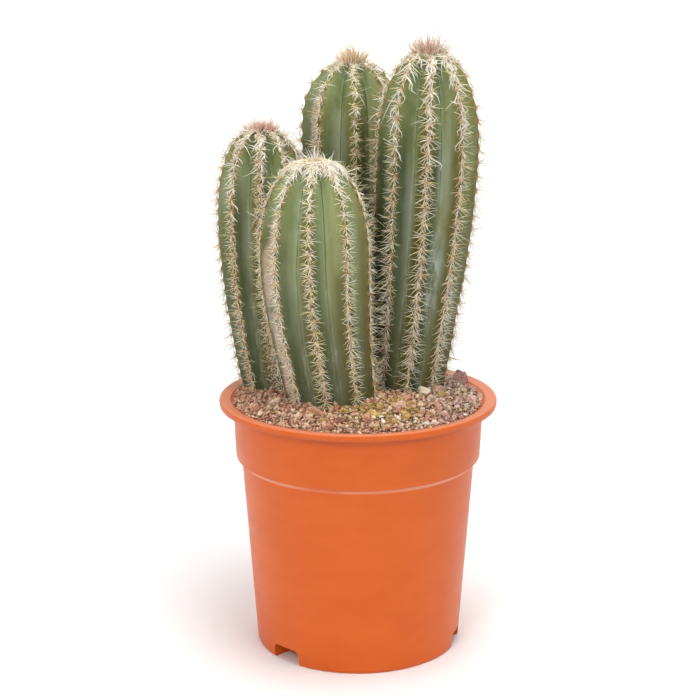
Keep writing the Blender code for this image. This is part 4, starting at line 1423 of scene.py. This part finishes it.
def soil_hue(x, y, rng):
    """Mostly pinkish brown, mustard right of the middle, redder at the left, creamier in front."""
    draw = rng.random()
    mustard = 0.85 * patch_at(x, y, 14, -42, 24, 18) + 0.30 * patch_at(x, y, 58, -6, 10, 16)
    mustard += 0.35 * patch_at(x, y, -18, -46, 14, 8)
    cream = 0.05 + 0.45 * patch_at(x, y, 26, -62, 18, 9) + 0.10 * patch_at(x, y, -50, -30, 18, 24)
    red = 0.22 * patch_at(x, y, -45, -12, 18, 16) + 0.15 * patch_at(x, y, 0, -50, 20, 12)
    if draw < mustard:
        return rng.uniform(0.77, 0.86)
    if draw < mustard + cream:
        return rng.uniform(0.94, 1.0)
    if draw < mustard + cream + red:
        return rng.uniform(0.20, 0.34)
    return float(np.clip(rng.normal(0.50, 0.17), 0.05, 0.72))


# %% Grains of the soil
# Each kind: how many are thrown, their radii at least, usually and at most in millimetres, how near two may
# lie, how high they lie, how fine their mesh is, and a seed
GRAINS = {
    "soil_grit": (9000, (0.9, 1.5, 3.0), 0.70, (-0.45, 0.35), 2, 21),
    "soil_crumbs": (9200, (0.40, 0.75, 1.15), 0.66, (-0.2, 1.5), 1, 22),
    "soil_pebbles": (150, (2.4, 3.0, 4.4), 1.2, (-0.2, 0.25), 3, 23),
}
GRIT_EDGE = 77.4 * MM
CELL = 3 * MM


# Where a stone that stands out or a stem already lies: its middle and its reach
TAKEN = [(x * MM, y * MM, across * MM * 0.9) for x, y, _, across, _, _ in STONES.values()]
ground = np.array(SOIL_TOP)
TAKEN += [(*centre_at(stem, ground), girth_at(stem, ground) * 0.93) for stem in STEMS.values()]


def throw_grains(count, sizes, spacing, lift, seed):
    """Grains thrown one by one, none too near one that lies already, and none in a stem."""
    rng = np.random.default_rng(seed)
    lying, grains = {}, []
    for _ in range(count):
        across = rng.triangular(*(v * MM for v in sizes))
        radius = (GRIT_EDGE - across) * math.sqrt(rng.random())
        turn = rng.uniform(0, FULL_TURN)
        x, y = radius * math.cos(turn), radius * math.sin(turn)
        column, row = int(x // CELL), int(y // CELL)
        near = [g for i in (-1, 0, 1) for j in (-1, 0, 1) for g in lying.get((column + i, row + j), [])]
        if (any(math.hypot(x - g[0], y - g[1]) < (across + g[2]) * spacing for g in near)
                or any(math.hypot(x - g[0], y - g[1]) < g[2] for g in TAKEN)):
            continue
        lying.setdefault((column, row), []).append((x, y, across))
        z = float(soil_height(x, y)) + rng.uniform(*lift) * across
        grains.append(((x, y, z), across, soil_hue(x, y, rng)))
    return (np.array(row) for row in zip(*grains))


for name, (count, sizes, spacing, lift, level, seed) in GRAINS.items():
    heap(name, *throw_grains(count, sizes, spacing, lift, seed), level, seed + 10)
for seed, (name, (x, y, lift, across, up, hue)) in enumerate(STONES.items(), 51):
    place = (x * MM, y * MM, float(soil_height(x * MM, y * MM)) + lift * MM)
    heap(name, np.array([place]), np.array([across * MM]), np.array([hue]), 4, seed, up / across)

# %% [markdown]
# ## The sizes
#
# The box round everything that is shown is printed in millimetres.

# %% Sizes and the end
seen_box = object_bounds()
for axis, low, high in zip("XYZ", *[[c[i] for i in range(3)] for c in seen_box]):
    print(axis, "from", round(low / MM, 1), "to", round(high / MM, 1), "mm")
